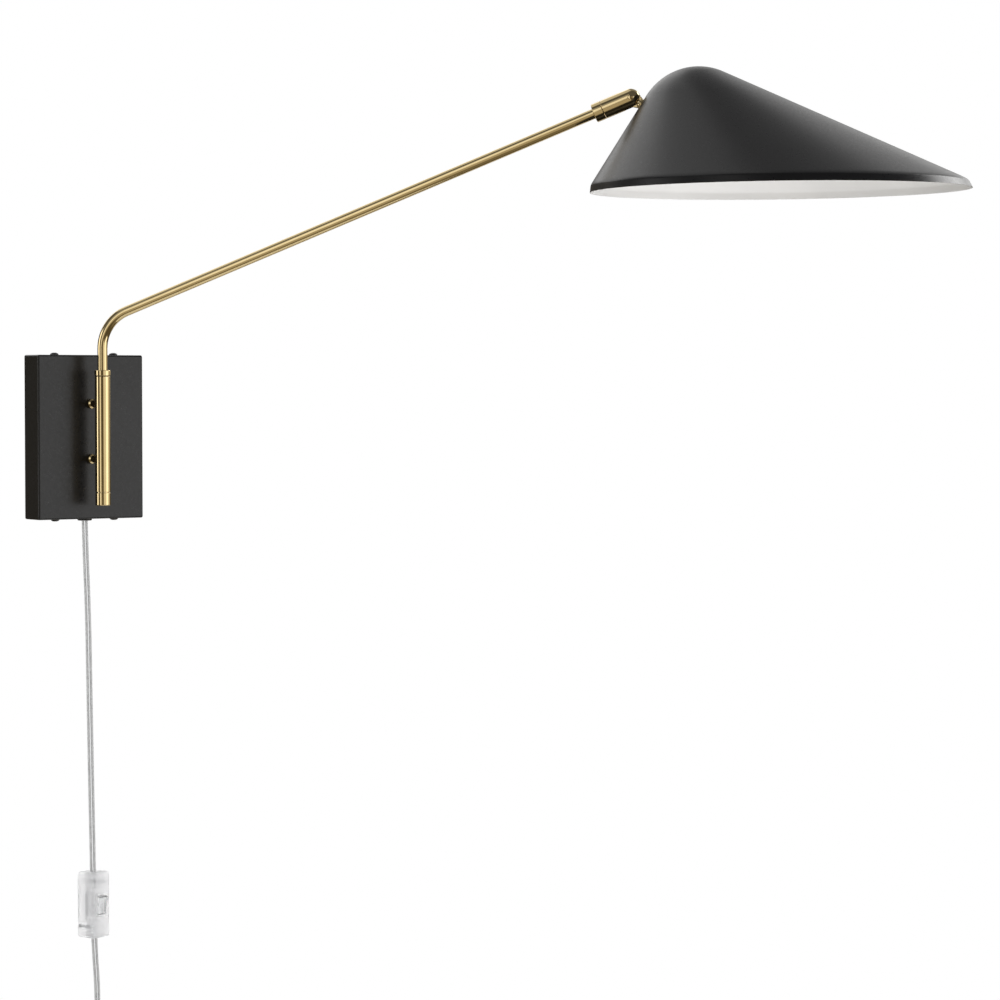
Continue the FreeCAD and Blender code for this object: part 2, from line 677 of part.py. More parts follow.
def across_pivot(length):
    """A frame whose Z axis is the tilt pivot's axis, half of length before the pivot."""
    tilt_axis = Placement(Vector(), Rotation(Vector(1, 0, 0), -90))
    return on_arm(value("knuckle_pivot")).multiply(tilt_axis).multiply(
        along_z(-value(length) / 2))


def pivot_pin():
    return cylinder("pivot_pin", "pin_diameter - bush_clearance", "pin_length",
                    across_pivot("pin_length"))


def knuckle_clip():
    """The snap ring on the swivel, inside the collar's chamber."""
    return ring("knuckle_clip", "swivel_clip_diameter", "swivel_diameter + 2 * bush_clearance",
                "clip_length", on_arm(value("swivel_clip_start")))


def knuckle_wire():
    start = value("knuckle_start + knuckle_collar_length + knuckle_gap - swivel_length")
    length = "knuckle_pivot - slot_behind - knuckle_start - knuckle_collar_length"
    return cylinder("knuckle_wire", "wire_diameter", f"{length} + swivel_length - knuckle_gap",
                    on_arm(start))


# ---------------------------------------------------------------- shade


def swivel_tongue():
    """The tongue between the knuckle's cheeks, its stem and the hollow nipple in the shade."""
    tilt_axis = Placement(Vector(), Rotation(Vector(1, 0, 0), -90))
    half_thickness = along_z(-value("tongue_thickness") / 2)
    disc = cylinder("tongue_disc", "tongue_diameter", "tongue_thickness",
                    on_stem(0).multiply(tilt_axis).multiply(half_thickness))
    web = new_body("tongue_web")
    outline_sketch = new_sketch(web, "XZ_Plane", "tongue_web_outline")
    outline(outline_sketch, [
        ("-tongue_diameter / 2", "0"), ("tongue_diameter / 2", "0"),
        ("stem_diameter / 2", "stem_start"), ("-stem_diameter / 2", "stem_start"),
    ])
    pad(web, outline_sketch, "tongue_thickness", both_ways=True)
    web.Placement = on_stem(0)
    stem = cylinder("tongue_stem", "stem_diameter", "seat_start - stem_start",
                    on_stem(value("stem_start")))
    nipple = cylinder("tongue_nipple", "nipple_diameter", "nipple_end - seat_start",
                      on_stem(value("seat_start")))
    bore = cylinder("tongue_bore", "nipple_bore", "nipple_end",
                    on_stem(value("nipple_bore_start")))
    pin_hole = cylinder("tongue_pin_hole", "pin_diameter + 2 * running_clearance",
                        "tongue_diameter", across_pivot("tongue_diameter"))
    blank = fused("tongue_blank", disc, web, stem, nipple)
    return cut("swivel_tongue", blank, bore, pin_hole)


def seat_washer():
    """The brass washer between the stem's shoulder and the shade."""
    return ring("seat_washer", "seat_diameter", "nipple_diameter + thread_clearance",
                "shade_sheet", on_stem(value("seat_start")))


def shade_section(height, inset):
    """The shade's level section, a circle: its centre along X and its radius."""
    dome = value("dome_radius") - inset
    edges = []
    for side, slope in ((-1, value("steep_slope")), (1, value("shallow_slope"))):
        angle = math.radians(slope)
        touch_height = value("dome_height") + dome * math.cos(angle)
        if height < touch_height:
            reach = dome * math.sin(angle) + (touch_height - height) / math.tan(angle)
        else:
            reach = math.sqrt(dome**2 - (height - value("dome_height")) ** 2)
        edges.append(value("dome_centre") + side * reach)
    return sum(edges) / 2, (edges[1] - edges[0]) / 2


def level_circle(centre, radius, height):
    return Part.Wire(Part.Circle(Vector(centre, 0, height), Vector(0, 0, 1), radius).toShape())


def shade_solid(inset, bottom):
    """The shade's form: a flared lip, a leaning cone and a dome, drawn in by inset."""
    lip, rim = value("lip_height"), value("rim_radius") - inset
    centre, radius = shade_section(lip, inset)
    slant = (radius - rim) / lip
    band = Part.makeLoft([
        level_circle(centre * bottom / lip, rim + slant * bottom, bottom),
        level_circle(centre, radius, lip),
    ], True, True)
    dome = value("dome_radius") - inset
    steep = math.radians(value("steep_slope"))
    shoulder = value("dome_height") + dome * math.cos(steep)
    top = value("dome_height") + dome
    cone = Part.makeLoft([
        level_circle(centre, radius, lip),
        level_circle(*shade_section(shoulder, inset), shoulder),
    ], True, True)
    steps = 8
    levels = [top - (top - shoulder) * (1 - i / steps) ** 2 for i in range(steps)]
    crown_wires = [level_circle(*shade_section(level, inset), level) for level in levels]
    crown = Part.makeLoft(crown_wires + [Part.Vertex(Vector(value("dome_centre"), 0, top))], True)
    return band.fuse(cone).fuse(crown).removeSplitter()


def shade_shell():
    """A spun sheet shade, open below, with a hole for the stem in its steep face."""
    outer = shade_solid(0, 0)
    inner = shade_solid(value("shade_sheet"), -1)
    sheet = outer.cut(inner)
    sheet.Placement = at_shade()
    hole = Part.makeCylinder(value("(nipple_diameter + hole_clearance) / 2"), value("nipple_end"))
    hole.Placement = on_stem(0)
    piece = DOC.addObject("Part::Feature", "shade_shell")
    piece.Shape = sheet.cut(hole)
    return named(piece, "shade_shell")


def stem_nut():
    return hexagon("stem_nut", "stem_nut_flats", "nipple_diameter + thread_clearance",
                   "stem_nut_height", on_stem(value("stem_nut_start")))


def lampholder_cap():
    """The holder's back, screwed on the nipple."""
    outer, bore = "holder_diameter / 2", "nipple_diameter / 2 + running_clearance"
    return turned("lampholder_cap", [
        (bore, "0"), (f"{outer} - holder_edge", "0"), (outer, "holder_edge"),
        (outer, "holder_cap_length"),
        (bore, "holder_cap_length"),
    ], on_stem(value("holder_start")))


def lampholder_body():
    """The holder's open cup, with a hole for the wires in its floor."""
    outer, wall = "holder_diameter / 2", "holder_wall"
    wire_hole = "wire_diameter / 2 + wire_clearance"
    return turned("lampholder_body", [
        (wire_hole, "0"), (outer, "0"), (outer, "holder_length"),
        (f"{outer} - {wall}", "holder_length"), (f"{outer} - {wall}", "holder_floor"),
        (wire_hole, "holder_floor"),
    ], on_stem(value("holder_start + holder_cap_length")))


def lampholder_shell():
    return ring("lampholder_shell", "screw_shell_diameter",
                "screw_shell_diameter - 2 * screw_shell_wall", "screw_shell_length",
                on_stem(value("screw_shell_start")))


def lampholder_contact():
    return cylinder("lampholder_contact", "contact_diameter", "contact_height",
                    on_stem(value("holder_start + holder_cap_length + holder_floor")))


def shade_wire():
    start, end = "nipple_bore_start + cut_margin", "holder_start + holder_cap_length + holder_floor"
    return cylinder("shade_wire", "wire_diameter", f"{end} - ({start})", on_stem(value(start)))


def bulb_base():
    """The lamp's screw cap, with its centre contact."""
    outer = "bulb_base_diameter / 2"
    return turned("bulb_base", [
        ("0", "0"), ("bulb_tip_radius", "0"), (f"{outer} - bulb_base_edge", "bulb_base_edge"),
        (outer, "2 * bulb_base_edge"), (outer, "bulb_base_length"), ("0", "bulb_base_length"),
    ], on_stem(value("bulb_start")))


def bulb_globe():
    """A small hollow glass globe."""
    start = value("bulb_start + bulb_base_length")
    centre = value("bulb_end - bulb_diameter / 2")

    def form(name, inset):
        neck = cylinder(f"globe_neck_{name}", f"bulb_neck_diameter - 2 * {inset}",
                        "bulb_end - bulb_diameter / 2 - bulb_start - bulb_base_length",
                        on_stem(start))
        ball = sphere(f"globe_ball_{name}", f"bulb_diameter - 2 * {inset}", on_stem(centre))
        return fused(f"globe_{name}", neck, ball)

    return cut("bulb_globe", form("outside", "0"), form("inside", "bulb_glass"))


# ---------------------------------------------------------------- inline switch


def placed(piece, frame):
    """Moves a finished piece into a frame."""
    piece.Placement = frame
    return piece


def switch_half(label, side):
    """One half of the switch's case as a plain block, on the -Y side or the +Y side."""
    body = new_body(label)
    sketch = new_sketch(body, "XY_Plane", label + "_outline")
    half = "switch_thickness / 2"
    low = f"-{half}" if side < 0 else "0"
    rectangle(sketch, "switch_width", half, low=low)
    blank = pad(body, sketch, "switch_length", both_ways=True)
    outside = value(half) - 0.1

    def upright(edge):
        return edge.BoundBox.ZLength > 1 and abs(edge.BoundBox.Center.y) > outside

    def round_the_ends(edge):
        flat = edge.BoundBox.ZLength < 0.01
        on_joint = abs(edge.BoundBox.YMin) < 0.01 and abs(edge.BoundBox.YMax) < 0.01
        return flat and not on_joint

    corners = fillet(body, blank, "switch_corner", upright)
    fillet(body, corners, "switch_end_round", round_the_ends)
    return body


def switch_channel(label):
    """The cord's channel through the case, along its middle."""
    return cylinder(label, "jacket_diameter + thread_clearance", "switch_length + 2 * cut_margin",
                    at(z="-switch_length / 2 - cut_margin"))


def switch_screw(label, side):
    """One case screw: a head at the back and a shank into the front half."""
    place = at(f"{side} * case_screw_across", "switch_thickness / 2 - case_screw_sink",
               f"{side} * case_screw_up", OUTWARD)
    head = cylinder(label + "_head", "case_screw_head", "case_screw_head_height", place)
    shank = cylinder(label + "_shank", "case_screw_shank", "case_screw_length", place)
    return fused(label, head, shank)


def screw_recess(label, side):
    """The stepped hole for a case screw, open at the back."""
    start = at(f"{side} * case_screw_across", "switch_thickness / 2 + cut_margin",
               f"{side} * case_screw_up", OUTWARD)
    sunk = "cut_margin + case_screw_sink"
    head = cylinder(label + "_head", "case_screw_head + 2 * thread_clearance",
                    f"{sunk} + case_screw_head_height", start)
    shank = cylinder(label + "_shank", "case_screw_shank + 2 * thread_clearance",
                     f"{sunk} + case_screw_length + hole_clearance", start)
    return fused(label, head, shank)


def switch_back_shell():
    chamber = block("back_chamber", "rocker_opening_width", "switch_chamber_depth",
                    "rocker_opening_length + 2 * switch_chamber_margin",
                    at(z="-rocker_opening_length / 2 - switch_chamber_margin"))
    recesses = [screw_recess(f"back_recess_{i}", side) for i, side in enumerate((-1, 1))]
    shell = cut("switch_back_shell", switch_half("back_half", 1), switch_channel("back_channel"),
                chamber, *recesses)
    return placed(shell, at_switch())


def switch_front_shell():
    """The front half, with the rocker's opening and the holes for its axle."""
    opening = block("rocker_opening", "rocker_opening_width", "switch_thickness + cut_margin",
                    "rocker_opening_length", at(z="-rocker_opening_length / 2"))
    axle_length = "rocker_axle_length + hole_clearance"
    axle = cylinder("axle_holes", "rocker_axle + 2 * running_clearance", axle_length,
                    rocker_axle_frame(axle_length))
    recesses = [screw_recess(f"front_recess_{i}", side) for i, side in enumerate((-1, 1))]
    shell = cut("switch_front_shell", switch_half("front_half", -1),
                switch_channel("front_channel"), opening, axle, *recesses)
    return placed(shell, at_switch())


def rocker_axle_frame(length):
    """A frame on the rocker's axle, its Z axis along the switch's width."""
    turn = Rotation(Vector(0, 1, 0), 90)
    return at(f"-({length}) / 2", "-switch_thickness / 2 + rocker_axle_depth", "0", turn)


def switch_rocker():
    """The rocker, resting with one end pressed in."""
    body = new_body("rocker_block")
    profile = new_sketch(body, "YZ_Plane", "rocker_profile")
    half, inset = "rocker_length / 2", "rocker_crest_inset"
    outline(profile, [
        ("rocker_back", f"-{half}"), ("rocker_back", half), ("-rocker_edge", half),
        ("-rocker_crest", f"{half} - {inset}"), ("-rocker_waist", "0"),
        ("-rocker_crest", f"-{half} + {inset}"), ("-rocker_edge", f"-{half}"),
    ])
    pad(body, profile, "rocker_width", both_ways=True)
    along_width = Rotation(Vector(0, 1, 0), 90)
    axle = cylinder("rocker_axle_bar", "rocker_axle", "rocker_axle_length",
                    at("-rocker_axle_length / 2", "0", "0", along_width))
    rocker = fused("switch_rocker", body, axle)
    tilt = Rotation(Vector(1, 0, 0), value("rocker_rest_tilt"))
    pivot = at("0", "-switch_thickness / 2 + rocker_axle_depth", "0", tilt)
    return placed(rocker, at_switch().multiply(pivot))


def switch_contacts():
    """Two brass strips on the floor of the back chamber."""
    strips = []
    for i, side in enumerate((-1, 1)):
        place = at(f"{side} * strip_across", "strip_back", "-strip_length / 2")
        strips.append(block(f"contact_strip_{i}", "strip_width", "strip_sheet", "strip_length",
                            at_switch().multiply(place)))
    return group("switch_contacts", *strips)


def switch_leads():
    """The cord's jacket inside the case, at each end."""
    chamber_end = "rocker_opening_length / 2 + switch_chamber_margin"
    length = f"switch_length / 2 - ({chamber_end})"
    starts = {"lower": "-switch_length / 2", "upper": chamber_end}
    return group("switch_leads", *[
        cylinder(f"{side}_switch_lead", "jacket_diameter", length,
                 at_switch().multiply(at(z=start)))
        for side, start in starts.items()
    ])


def switch_screws():
    screws = [placed(switch_screw(f"case_screw_{i}", side), at_switch())
              for i, side in enumerate((-1, 1))]
    return group("switch_screws", *screws)


# ---------------------------------------------------------------- hank and plug


def stadium(label, radius, depth):
    """An upright slab with round ends, as deep as depth along Y."""
    centre_y = f"hank_place_y + ({depth}) / 2"
    ends = [
        cylinder(f"{label}_end_{i}", f"2 * ({radius})", depth,
                 at("hank_place_x", centre_y, f"hank_place_z + {side} * hank_half_run", OUTWARD))
        for i, side in enumerate((-1, 1))
    ]
    middle = block(f"{label}_middle", f"2 * ({radius})", depth, "2 * hank_half_run",
                   at("hank_place_x", "hank_place_y", "hank_place_z - hank_half_run"))
    return fused(label, middle, *ends)


def cord_hank():
    """The outer shape of the hank that the rest of the cord is tied in."""
    return cut("cord_hank", stadium("hank_outside", "hank_radius", "hank_depth"),
               stadium("hank_inside", "hank_radius - hank_band", "hank_depth + cut_margin"))


def hank_tie():
    """A band round the hank's middle."""
    width, depth = "2 * hank_radius + hole_clearance", "hank_depth + hole_clearance"
    place = at("hank_place_x", "hank_place_y", "hank_place_z - tie_width / 2")
    outside = block("tie_outside", f"{width} + 2 * tie_sheet", f"{depth} + 2 * tie_sheet",
                    "tie_width", place)
    return cut("hank_tie", outside, block("tie_inside", width, depth, "tie_width", place))


def plug_body():
    """A moulded two-blade plug, narrowing towards the cord."""
    body = new_body("plug_body")
    sections = [("0", "plug_neck", "plug_neck"), ("-plug_length / 2", "plug_width * 0.8",
                "plug_thickness * 0.9"), ("-plug_length", "plug_width", "plug_thickness")]
    sketches = []
    for i, (height, width, thickness) in enumerate(sections):
        sketch = new_sketch(body, "XY_Plane", f"plug_section_{i}", height)
        rectangle(sketch, width, thickness)
        sketches.append(sketch)
    DOC.recompute()
    loft = body.newObject("PartDesign::AdditiveLoft", "plug_loft")
    loft.Profile = sketches[0]
    loft.Sections = sketches[1:]
    body.Placement = at("hank_place_x", "-screw_offset", "plug_place_z")
    return body


def plug_blades():
    """Two flat blades that stand in the plug's front face."""
    low = "plug_place_z - plug_length - blade_length"
    return group("plug_blades", *[
        block(f"plug_blade_{i}", "blade_thickness", "blade_width", "blade_length",
              at(f"hank_place_x + {side} * blade_spacing / 2", "-screw_offset", low))
        for i, side in enumerate((-1, 1))
    ])


# ---------------------------------------------------------------- build


def build():
    wall_mount = [
        wall_bracket(), backplate_cover(), cover_screws(), cord_bushing(),
        post("upper_post", "post_upper_height"), post("lower_post", "post_lower_height"),
        post_washers(), post_nuts(), pivot_sleeve(), sleeve_top_bush(), sleeve_bottom_bush(),
        sleeve_end_cap(), tube("supply_lead", SUPPLY_LEAD, "jacket_diameter"), terminal_block(),
        tube("lamp_lead", LAMP_LEAD, "lead_diameter"),
        tube("cord_upper", CORD_UPPER, "cord_diameter"), switch_back_shell(),
        switch_front_shell(), switch_contacts(), switch_leads(), switch_screws(),
        tube("cord_lower", CORD_LOWER, "cord_diameter"), cord_hank(), hank_tie(),
        tube("cord_tail", CORD_TAIL, "cord_diameter"), plug_body(), plug_blades(),
    ]
    arm = [arm_pipe("arm_tube", "arm_diameter", "arm_bore"), arm_pipe("arm_wire", "wire_diameter"),
           arm_collar(), arm_clip(), knuckle_collar()]
    knuckle = [knuckle_body(), knuckle_clip(), pivot_pin(), knuckle_wire()]
    shade = [
        swivel_tongue(), seat_washer(), shade_shell(), stem_nut(), lampholder_cap(),
        lampholder_body(), lampholder_shell(), lampholder_contact(), shade_wire(),
        bulb_base(), bulb_globe(),
    ]
    return wall_mount + arm + knuckle + shade + [switch_rocker()]


def check(pieces):
    """Stops if anything in the document failed or a sub-part has no valid solid."""
    for thing in DOC.Objects:
        if {"Invalid", "Error"} & set(thing.State):
            raise RuntimeError(f"{thing.Label} did not compute: {thing.State}")
    for piece in pieces:
        shape = piece.Shape
        if shape.isNull() or not shape.isValid() or not shape.Solids:
            raise RuntimeError(f"{piece.Label} has no valid solid")


def export(pieces):
    os.makedirs("parts", exist_ok=True)
    for piece in pieces:
        piece.Shape.exportStep(os.path.join("parts", piece.Label + ".step"))
    print(f"{len(pieces)} sub-parts written")


PIECES = build()
DOC.recompute()
check(PIECES)
export(PIECES)
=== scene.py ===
import json
import math

import bpy
from mathutils import Matrix, Vector


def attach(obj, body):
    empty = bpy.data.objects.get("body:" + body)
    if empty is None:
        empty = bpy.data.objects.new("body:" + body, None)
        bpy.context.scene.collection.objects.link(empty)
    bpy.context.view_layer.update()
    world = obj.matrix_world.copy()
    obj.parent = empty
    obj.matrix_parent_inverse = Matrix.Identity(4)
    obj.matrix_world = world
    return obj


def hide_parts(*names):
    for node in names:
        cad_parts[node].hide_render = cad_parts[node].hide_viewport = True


# Looks of the swing arm wall sconce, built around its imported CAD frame. Metres, in the row frame:
# +X right along the wall, -Y away from it, +Z up, origin at the centre of the backplate's back.

MM = 0.001
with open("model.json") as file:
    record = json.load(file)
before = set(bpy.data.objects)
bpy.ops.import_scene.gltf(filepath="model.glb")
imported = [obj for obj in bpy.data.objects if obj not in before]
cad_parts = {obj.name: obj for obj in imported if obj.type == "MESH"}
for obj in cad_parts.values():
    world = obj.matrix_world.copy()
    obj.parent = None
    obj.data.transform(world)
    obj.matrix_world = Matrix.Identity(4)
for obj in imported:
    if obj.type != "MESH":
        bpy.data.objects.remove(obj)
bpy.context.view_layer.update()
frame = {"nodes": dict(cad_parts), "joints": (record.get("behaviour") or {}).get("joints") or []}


# ---------------------------------------------------------------- driving sizes, in millimetres

PLATE = {"width": 117, "height": 165, "depth": 31, "sheet": 1.2, "round": 1.8}
SCREWS = {"across": 33, "out": -15.5, "head": 8.5, "height": 2.4, "shank": 4, "length": 9}
BUSHING = {"flange": 14.5, "height": 2, "barrel": 10.8, "inside": 6, "bore": 5.6}
POSTS = {"upper_post": 33.5, "lower_post": -22}
POST = {"spigot": 8, "spigot_length": 9, "foot": 9.6, "foot_height": 3.6, "shoulder": 5,
        "barrel": 7, "bore": 5, "reach": 25.3, "saddle": 7}
SLEEVE = {"low": -54.5, "high": 60.9, "diameter": 15.5, "bore": 12.2}
COLLAR = {"low": 61.65, "high": 67.05, "diameter": 16.2}
CAP = {"low": -68, "high": -55.3, "diameter": 15.4, "neck": 13.4}
ARM = {"low": -10, "corner": 115.9, "bend": 40, "end": 539.5, "diameter": 10, "bore": 8}
ARM_ELEVATION = 21.8
KNUCKLE = {"start": 535.5, "gap": 544.9, "barrel": 545.3, "pivot": 574, "diameter": 18.4,
           "slot": 6.2, "slot_behind": 9.2, "pin": 4, "pin_length": 17.6}
# inside the knuckle: radii, and how far from its two ends
SWIVEL = {"socket": 5.02, "chamber": 6.5, "chamber_start": 4, "chamber_end": 7.4, "hole": 3.55,
          "neck": 3.5, "neck_length": 4.9, "wire": 2.2, "pin_hole": 2.05}
STEM = {"drop": 31.55, "tongue": 17.5, "thickness": 5.8, "start": 10.6, "diameter": 10,
        "seat": 11.78, "washer": 12, "nipple": 9.7, "end": 27.8, "bore": 4.4, "bore_start": 10,
        "nut": 14.5, "nut_flats": 14, "nut_height": 4}
HOLDER = {"start": 19, "diameter": 37, "cap": 9.6, "length": 36, "wall": 4, "floor": 3}
BULB = {"start": 35.8, "base": 25.6, "base_length": 24, "neck": 26, "diameter": 45, "end": 113.3}
SHADE = {"reach": 677.5, "height": 238.3, "nose_up": 0.45, "roll": 0.72, "rim": 182.4,
         "lip": 7.5, "sheet": 1, "dome_x": -78.5, "dome_z": 61.75, "dome": 58.6, "steep": 58,
         "shallow": 24.8}
SWITCH = {"x": 7.9, "y": -15.5, "z": -475.1, "turn": 20, "width": 25, "depth": 24,
          "length": 66.4, "corner": 4, "end": 2.5, "channel": 5.5, "chamber": 7,
          "chamber_beyond": 4}
GRIP_HEIGHTS = (-27, -24.5, -22, 20, 22.5, 25, 27.5)
ROCKER = {"opening": 13.4, "opening_length": 23, "width": 12.4, "length": 19.6, "axle_depth": 5.5,
          "axle": 2.4, "axle_length": 15.4, "back": 1, "edge": 5.6, "crest": 7, "waist": 5.9}
CASE_SCREW = {"across": 8.5, "up": 22, "head": 4.6, "sink": 1.6, "head_height": 1.4,
              "shank": 2.4, "length": 16}
CORD = {"lobe": 1.52, "spacing": 3.1, "groove": 38, "core": 0.82, "core_out": 1.55}
# where the lower cord turns on edge and back, start and length, and how long it keeps its hang
ON_EDGE, FLAT_AGAIN, OUT_OF_HANG = (85, 45), (22, 50), 75
HANK = {"x": 12, "z": -637.2, "half_run": 27, "front": -10.6, "back": -4.2, "radius": 27.4,
        "depth": 13.2, "y": -7.4}
PLUG = {"x": 12, "y": -15.5, "top": -700, "length": 30, "width": 24, "depth": 15, "neck": 9}
# ribs on the plug: from and to, depth in millimetres and spacing; the rest are shares of its length
PLUG_RIBS = [(0.04, 0.34, 0.9, 0.075), (0.5, 0.86, 0.7, 0.09)]
PLUG_FACE = {"from": 0.93, "share": 0.07, "round": 2.2}
BLADE = {"across": 6.35, "width": 6.35, "thickness": 1.5, "length": 16}


# ---------------------------------------------------------------- frames from the joints

joints = {joint["name"]: joint for joint in frame["joints"]}
swing_origin = Vector(joints["arm_swing"]["pos_m"])
tilt_origin = Vector(joints["shade_tilt"]["pos_m"])
arm_axis = Vector(joints["knuckle_roll"]["axis"]).normalized()
tilt_axis = -Vector(joints["shade_tilt"]["axis"]).normalized()
forward = Vector((arm_axis.x, arm_axis.y, 0)).normalized()


def frame_at(origin, z_axis, y_axis):
    """A frame with its Z along z_axis and its Y along y_axis, which are square to each other."""
    z, y = z_axis.normalized(), y_axis.normalized()
    matrix = Matrix((y.cross(z), y, z)).transposed().to_4x4()
    matrix.translation = origin
    return matrix


def upright(origin):
    return Matrix.Translation(origin)


def on_arm(distance=0):
    """On the arm's straight part, Z along it, distance in millimetres from its corner."""
    origin = tilt_origin + arm_axis * (distance - KNUCKLE["pivot"]) * MM
    return frame_at(origin, arm_axis, tilt_axis)


def on_stem(distance=0):
    """On the shade's stem, Z into the shade, distance in millimetres from the tilt pivot."""
    drop = math.radians(STEM["drop"])
    direction = forward * math.cos(drop) - Vector((0, 0, math.sin(drop)))
    return frame_at(tilt_origin + direction * distance * MM, direction, tilt_axis)


def at_shade():
    """The centre of the shade's rim, X towards the nose."""
    rise = math.radians(SHADE["nose_up"])
    up = Vector((0, 0, math.cos(rise))) - forward * math.sin(rise)
    height = Vector((0, 0, SHADE["height"] * MM))
    origin = swing_origin + forward * SHADE["reach"] * MM + height
    return frame_at(origin, up, tilt_axis) @ Matrix.Rotation(math.radians(SHADE["roll"]), 4, "X")


def at_switch():
    place = Vector((SWITCH["x"], SWITCH["y"], SWITCH["z"])) * MM
    return Matrix.Translation(place) @ Matrix.Rotation(math.radians(SWITCH["turn"]), 4, "Z")


# ---------------------------------------------------------------- mesh helpers


def round_section(radius, centre, steps=14):
    """Points round a circle whose centre lies on the first axis."""
    angles = [2 * math.pi * i / steps for i in range(steps)]
    return [(centre + radius * math.cos(a), radius * math.sin(a)) for a in angles]


def soften(corners, steps=5):
    """A smooth outline through corners (across, up, radius), each rounded by its radius."""
    points = []
    for i, (x, y, radius) in enumerate(corners):
        corner = Vector((x, y))
        if not radius:
            points.append(corner)
            continue
        before = (Vector(corners[i - 1][:2]) - corner).normalized()
        after = (Vector(corners[(i + 1) % len(corners)][:2]) - corner).normalized()
        half = before.angle(after) / 2
        reach = radius / math.tan(half)
        centre = corner + (before + after).normalized() * radius / math.sin(half)
        start, end = corner + before * reach - centre, corner + after * reach - centre
        for step in range(steps + 1):
            share = step / steps
            bow = math.sin(math.pi - 2 * half)
            turn = math.pi - 2 * half
            mix = (start * math.sin((1 - share) * turn) + end * math.sin(share * turn)) / bow
            points.append(centre + mix)
    return points


def link(name, verts, faces, uvs=None):
    """A new object with a mesh of these vertices and faces."""
    mesh = bpy.data.meshes.new(name)
    mesh.from_pydata([tuple(v) for v in verts], [], faces)
    if uvs:
        layer = mesh.uv_layers.new(name="UVMap")
        for loop in mesh.loops:
            layer.data[loop.index].uv = uvs[loop.vertex_index]
    mesh.validate()
    thing = bpy.data.objects.new(name, mesh)
    bpy.context.scene.collection.objects.link(thing)
    return thing


def skin(name, rings, wrap=False, close=True):
    """Quads through rings of points. A ring of one point is a pole; wrap joins last to first."""
    verts, uvs, starts = [], [], []
    travelled, previous = 0.0, None
    for ring in rings:
        starts.append(len(verts))
        middle = sum(ring, Vector((0, 0, 0))) / len(ring)
        travelled += (middle - previous).length if previous else 0
        previous = middle
        for i, point in enumerate(ring):
            verts.append(point)
            uvs.append((i / len(ring), travelled / (10 * MM)))
    faces = []
    count = len(rings)
    for k in range(count if wrap else count - 1):
        a, b = rings[k], rings[(k + 1) % count]
        low, high = starts[k], starts[(k + 1) % count]
        size = max(len(a), len(b))
        for i in range(size if close else size - 1):
            j = (i + 1) % size
            if len(a) == 1:
                faces.append((low, high + j, high + i))
            elif len(b) == 1:
                faces.append((low + i, low + j, high))
            else:
                faces.append((low + i, low + j, high + j, high + i))
    return link(name, verts, faces, uvs)


def lathe(name, profile, place, segments=96):
    """Turns an outline of (radius, height) in millimetres about the Z axis of place."""
    rings = []
    for radius, height in profile:
        if radius < 1e-6:
            rings.append([place @ Vector((0, 0, height * MM))])
            continue
        rings.append([place @ (Vector((x, y, height)) * MM)
                      for x, y in round_section(radius, 0, segments)])
    closed = all(radius > 1e-6 for radius, _ in profile)
    return skin(name, rings, wrap=closed)


def sweep(name, points, section, wide):
    """Moves a flat section (across, thick) along points; wide(i) is its wide direction there."""
    rings = []
    last = len(points) - 1
    for i, point in enumerate(points):
        heading = (points[min(i + 1, last)] - points[max(i - 1, 0)]).normalized()
        across = wide(i)
        across = (across - heading * across.dot(heading)).normalized()
        thick = heading.cross(across)
        rings.append([point + across * x * MM + thick * y * MM for x, y in section])
    return skin(name, [[points[0]], *rings, [points[last]]])


def finish_mesh(thing, sharp=35):
    """Smooth shading that stays crisp at real edges."""
    mesh = thing.data
    mesh.shade_smooth()
    mesh.set_sharp_from_angle(angle=math.radians(sharp))
    weighted = thing.modifiers.new("normals", "WEIGHTED_NORMAL")
    weighted.keep_sharp = True
    return thing


def applied(thing):
    """Bakes the object's modifiers into its mesh."""
    graph = bpy.context.evaluated_depsgraph_get()
    mesh = bpy.data.meshes.new_from_object(thing.evaluated_get(graph))
    thing.modifiers.clear()
    thing.data = mesh
    return thing


def combine(thing, operation, *tools):
    """An exact boolean with each tool in turn; the tools are used up."""
    for tool in tools:
        step = thing.modifiers.new("combine", "BOOLEAN")
        step.operation = operation
        step.solver = "EXACT"
        step.object = tool
    applied(thing)
    for tool in tools:
        bpy.data.objects.remove(tool)
    return thing


def carve(thing, *tools):
    return combine(thing, "DIFFERENCE", *tools)


def bevelled(thing, width, segments=3, angle=40):
    """Rounds every edge that is sharper than angle, by width in millimetres."""
    edge = thing.modifiers.new("edges", "BEVEL")
    edge.width = width * MM
    edge.segments = segments
    edge.limit_method = "ANGLE"
    edge.angle_limit = math.radians(angle)
    edge.harden_normals = False
    return applied(thing)


def prism(name, outline, low, high, place):
    """A flat outline of (x, y) in millimetres, drawn out along Z from low to high."""
    count = len(outline)
    verts = [place @ (Vector((x, y, z)) * MM) for z in (low, high) for x, y in outline]
    faces = [tuple(range(count))[::-1], tuple(range(count, 2 * count))]
    faces += [(i, (i + 1) % count, count + (i + 1) % count, count + i) for i in range(count)]
    return link(name, verts, faces)


def rectangle(width, depth, radius=0, steps=5, middle=(0, 0)):
    """A rectangle's outline with rounded corners, counterclockwise."""
    x, y = width / 2, depth / 2
    corners = [(middle[0] + a * x, middle[1] + b * y, radius)
               for a, b in ((-1, -1), (1, -1), (1, 1), (-1, 1))]
    return soften(corners, steps)


def block(name, low, high, place):
    """A box between two corners in millimetres."""
    outline = [(low[0], low[1]), (high[0], low[1]), (high[0], high[1]), (low[0], high[1])]
    return prism(name, outline, low[2], high[2], place)


def rod(name, diameter, low, high, place, segments=48):
    """A plain round bar along Z, from low to high."""
    radius = diameter / 2
    return lathe(name, [(0, low), (radius, low), (radius, high), (0, high)], place, segments)


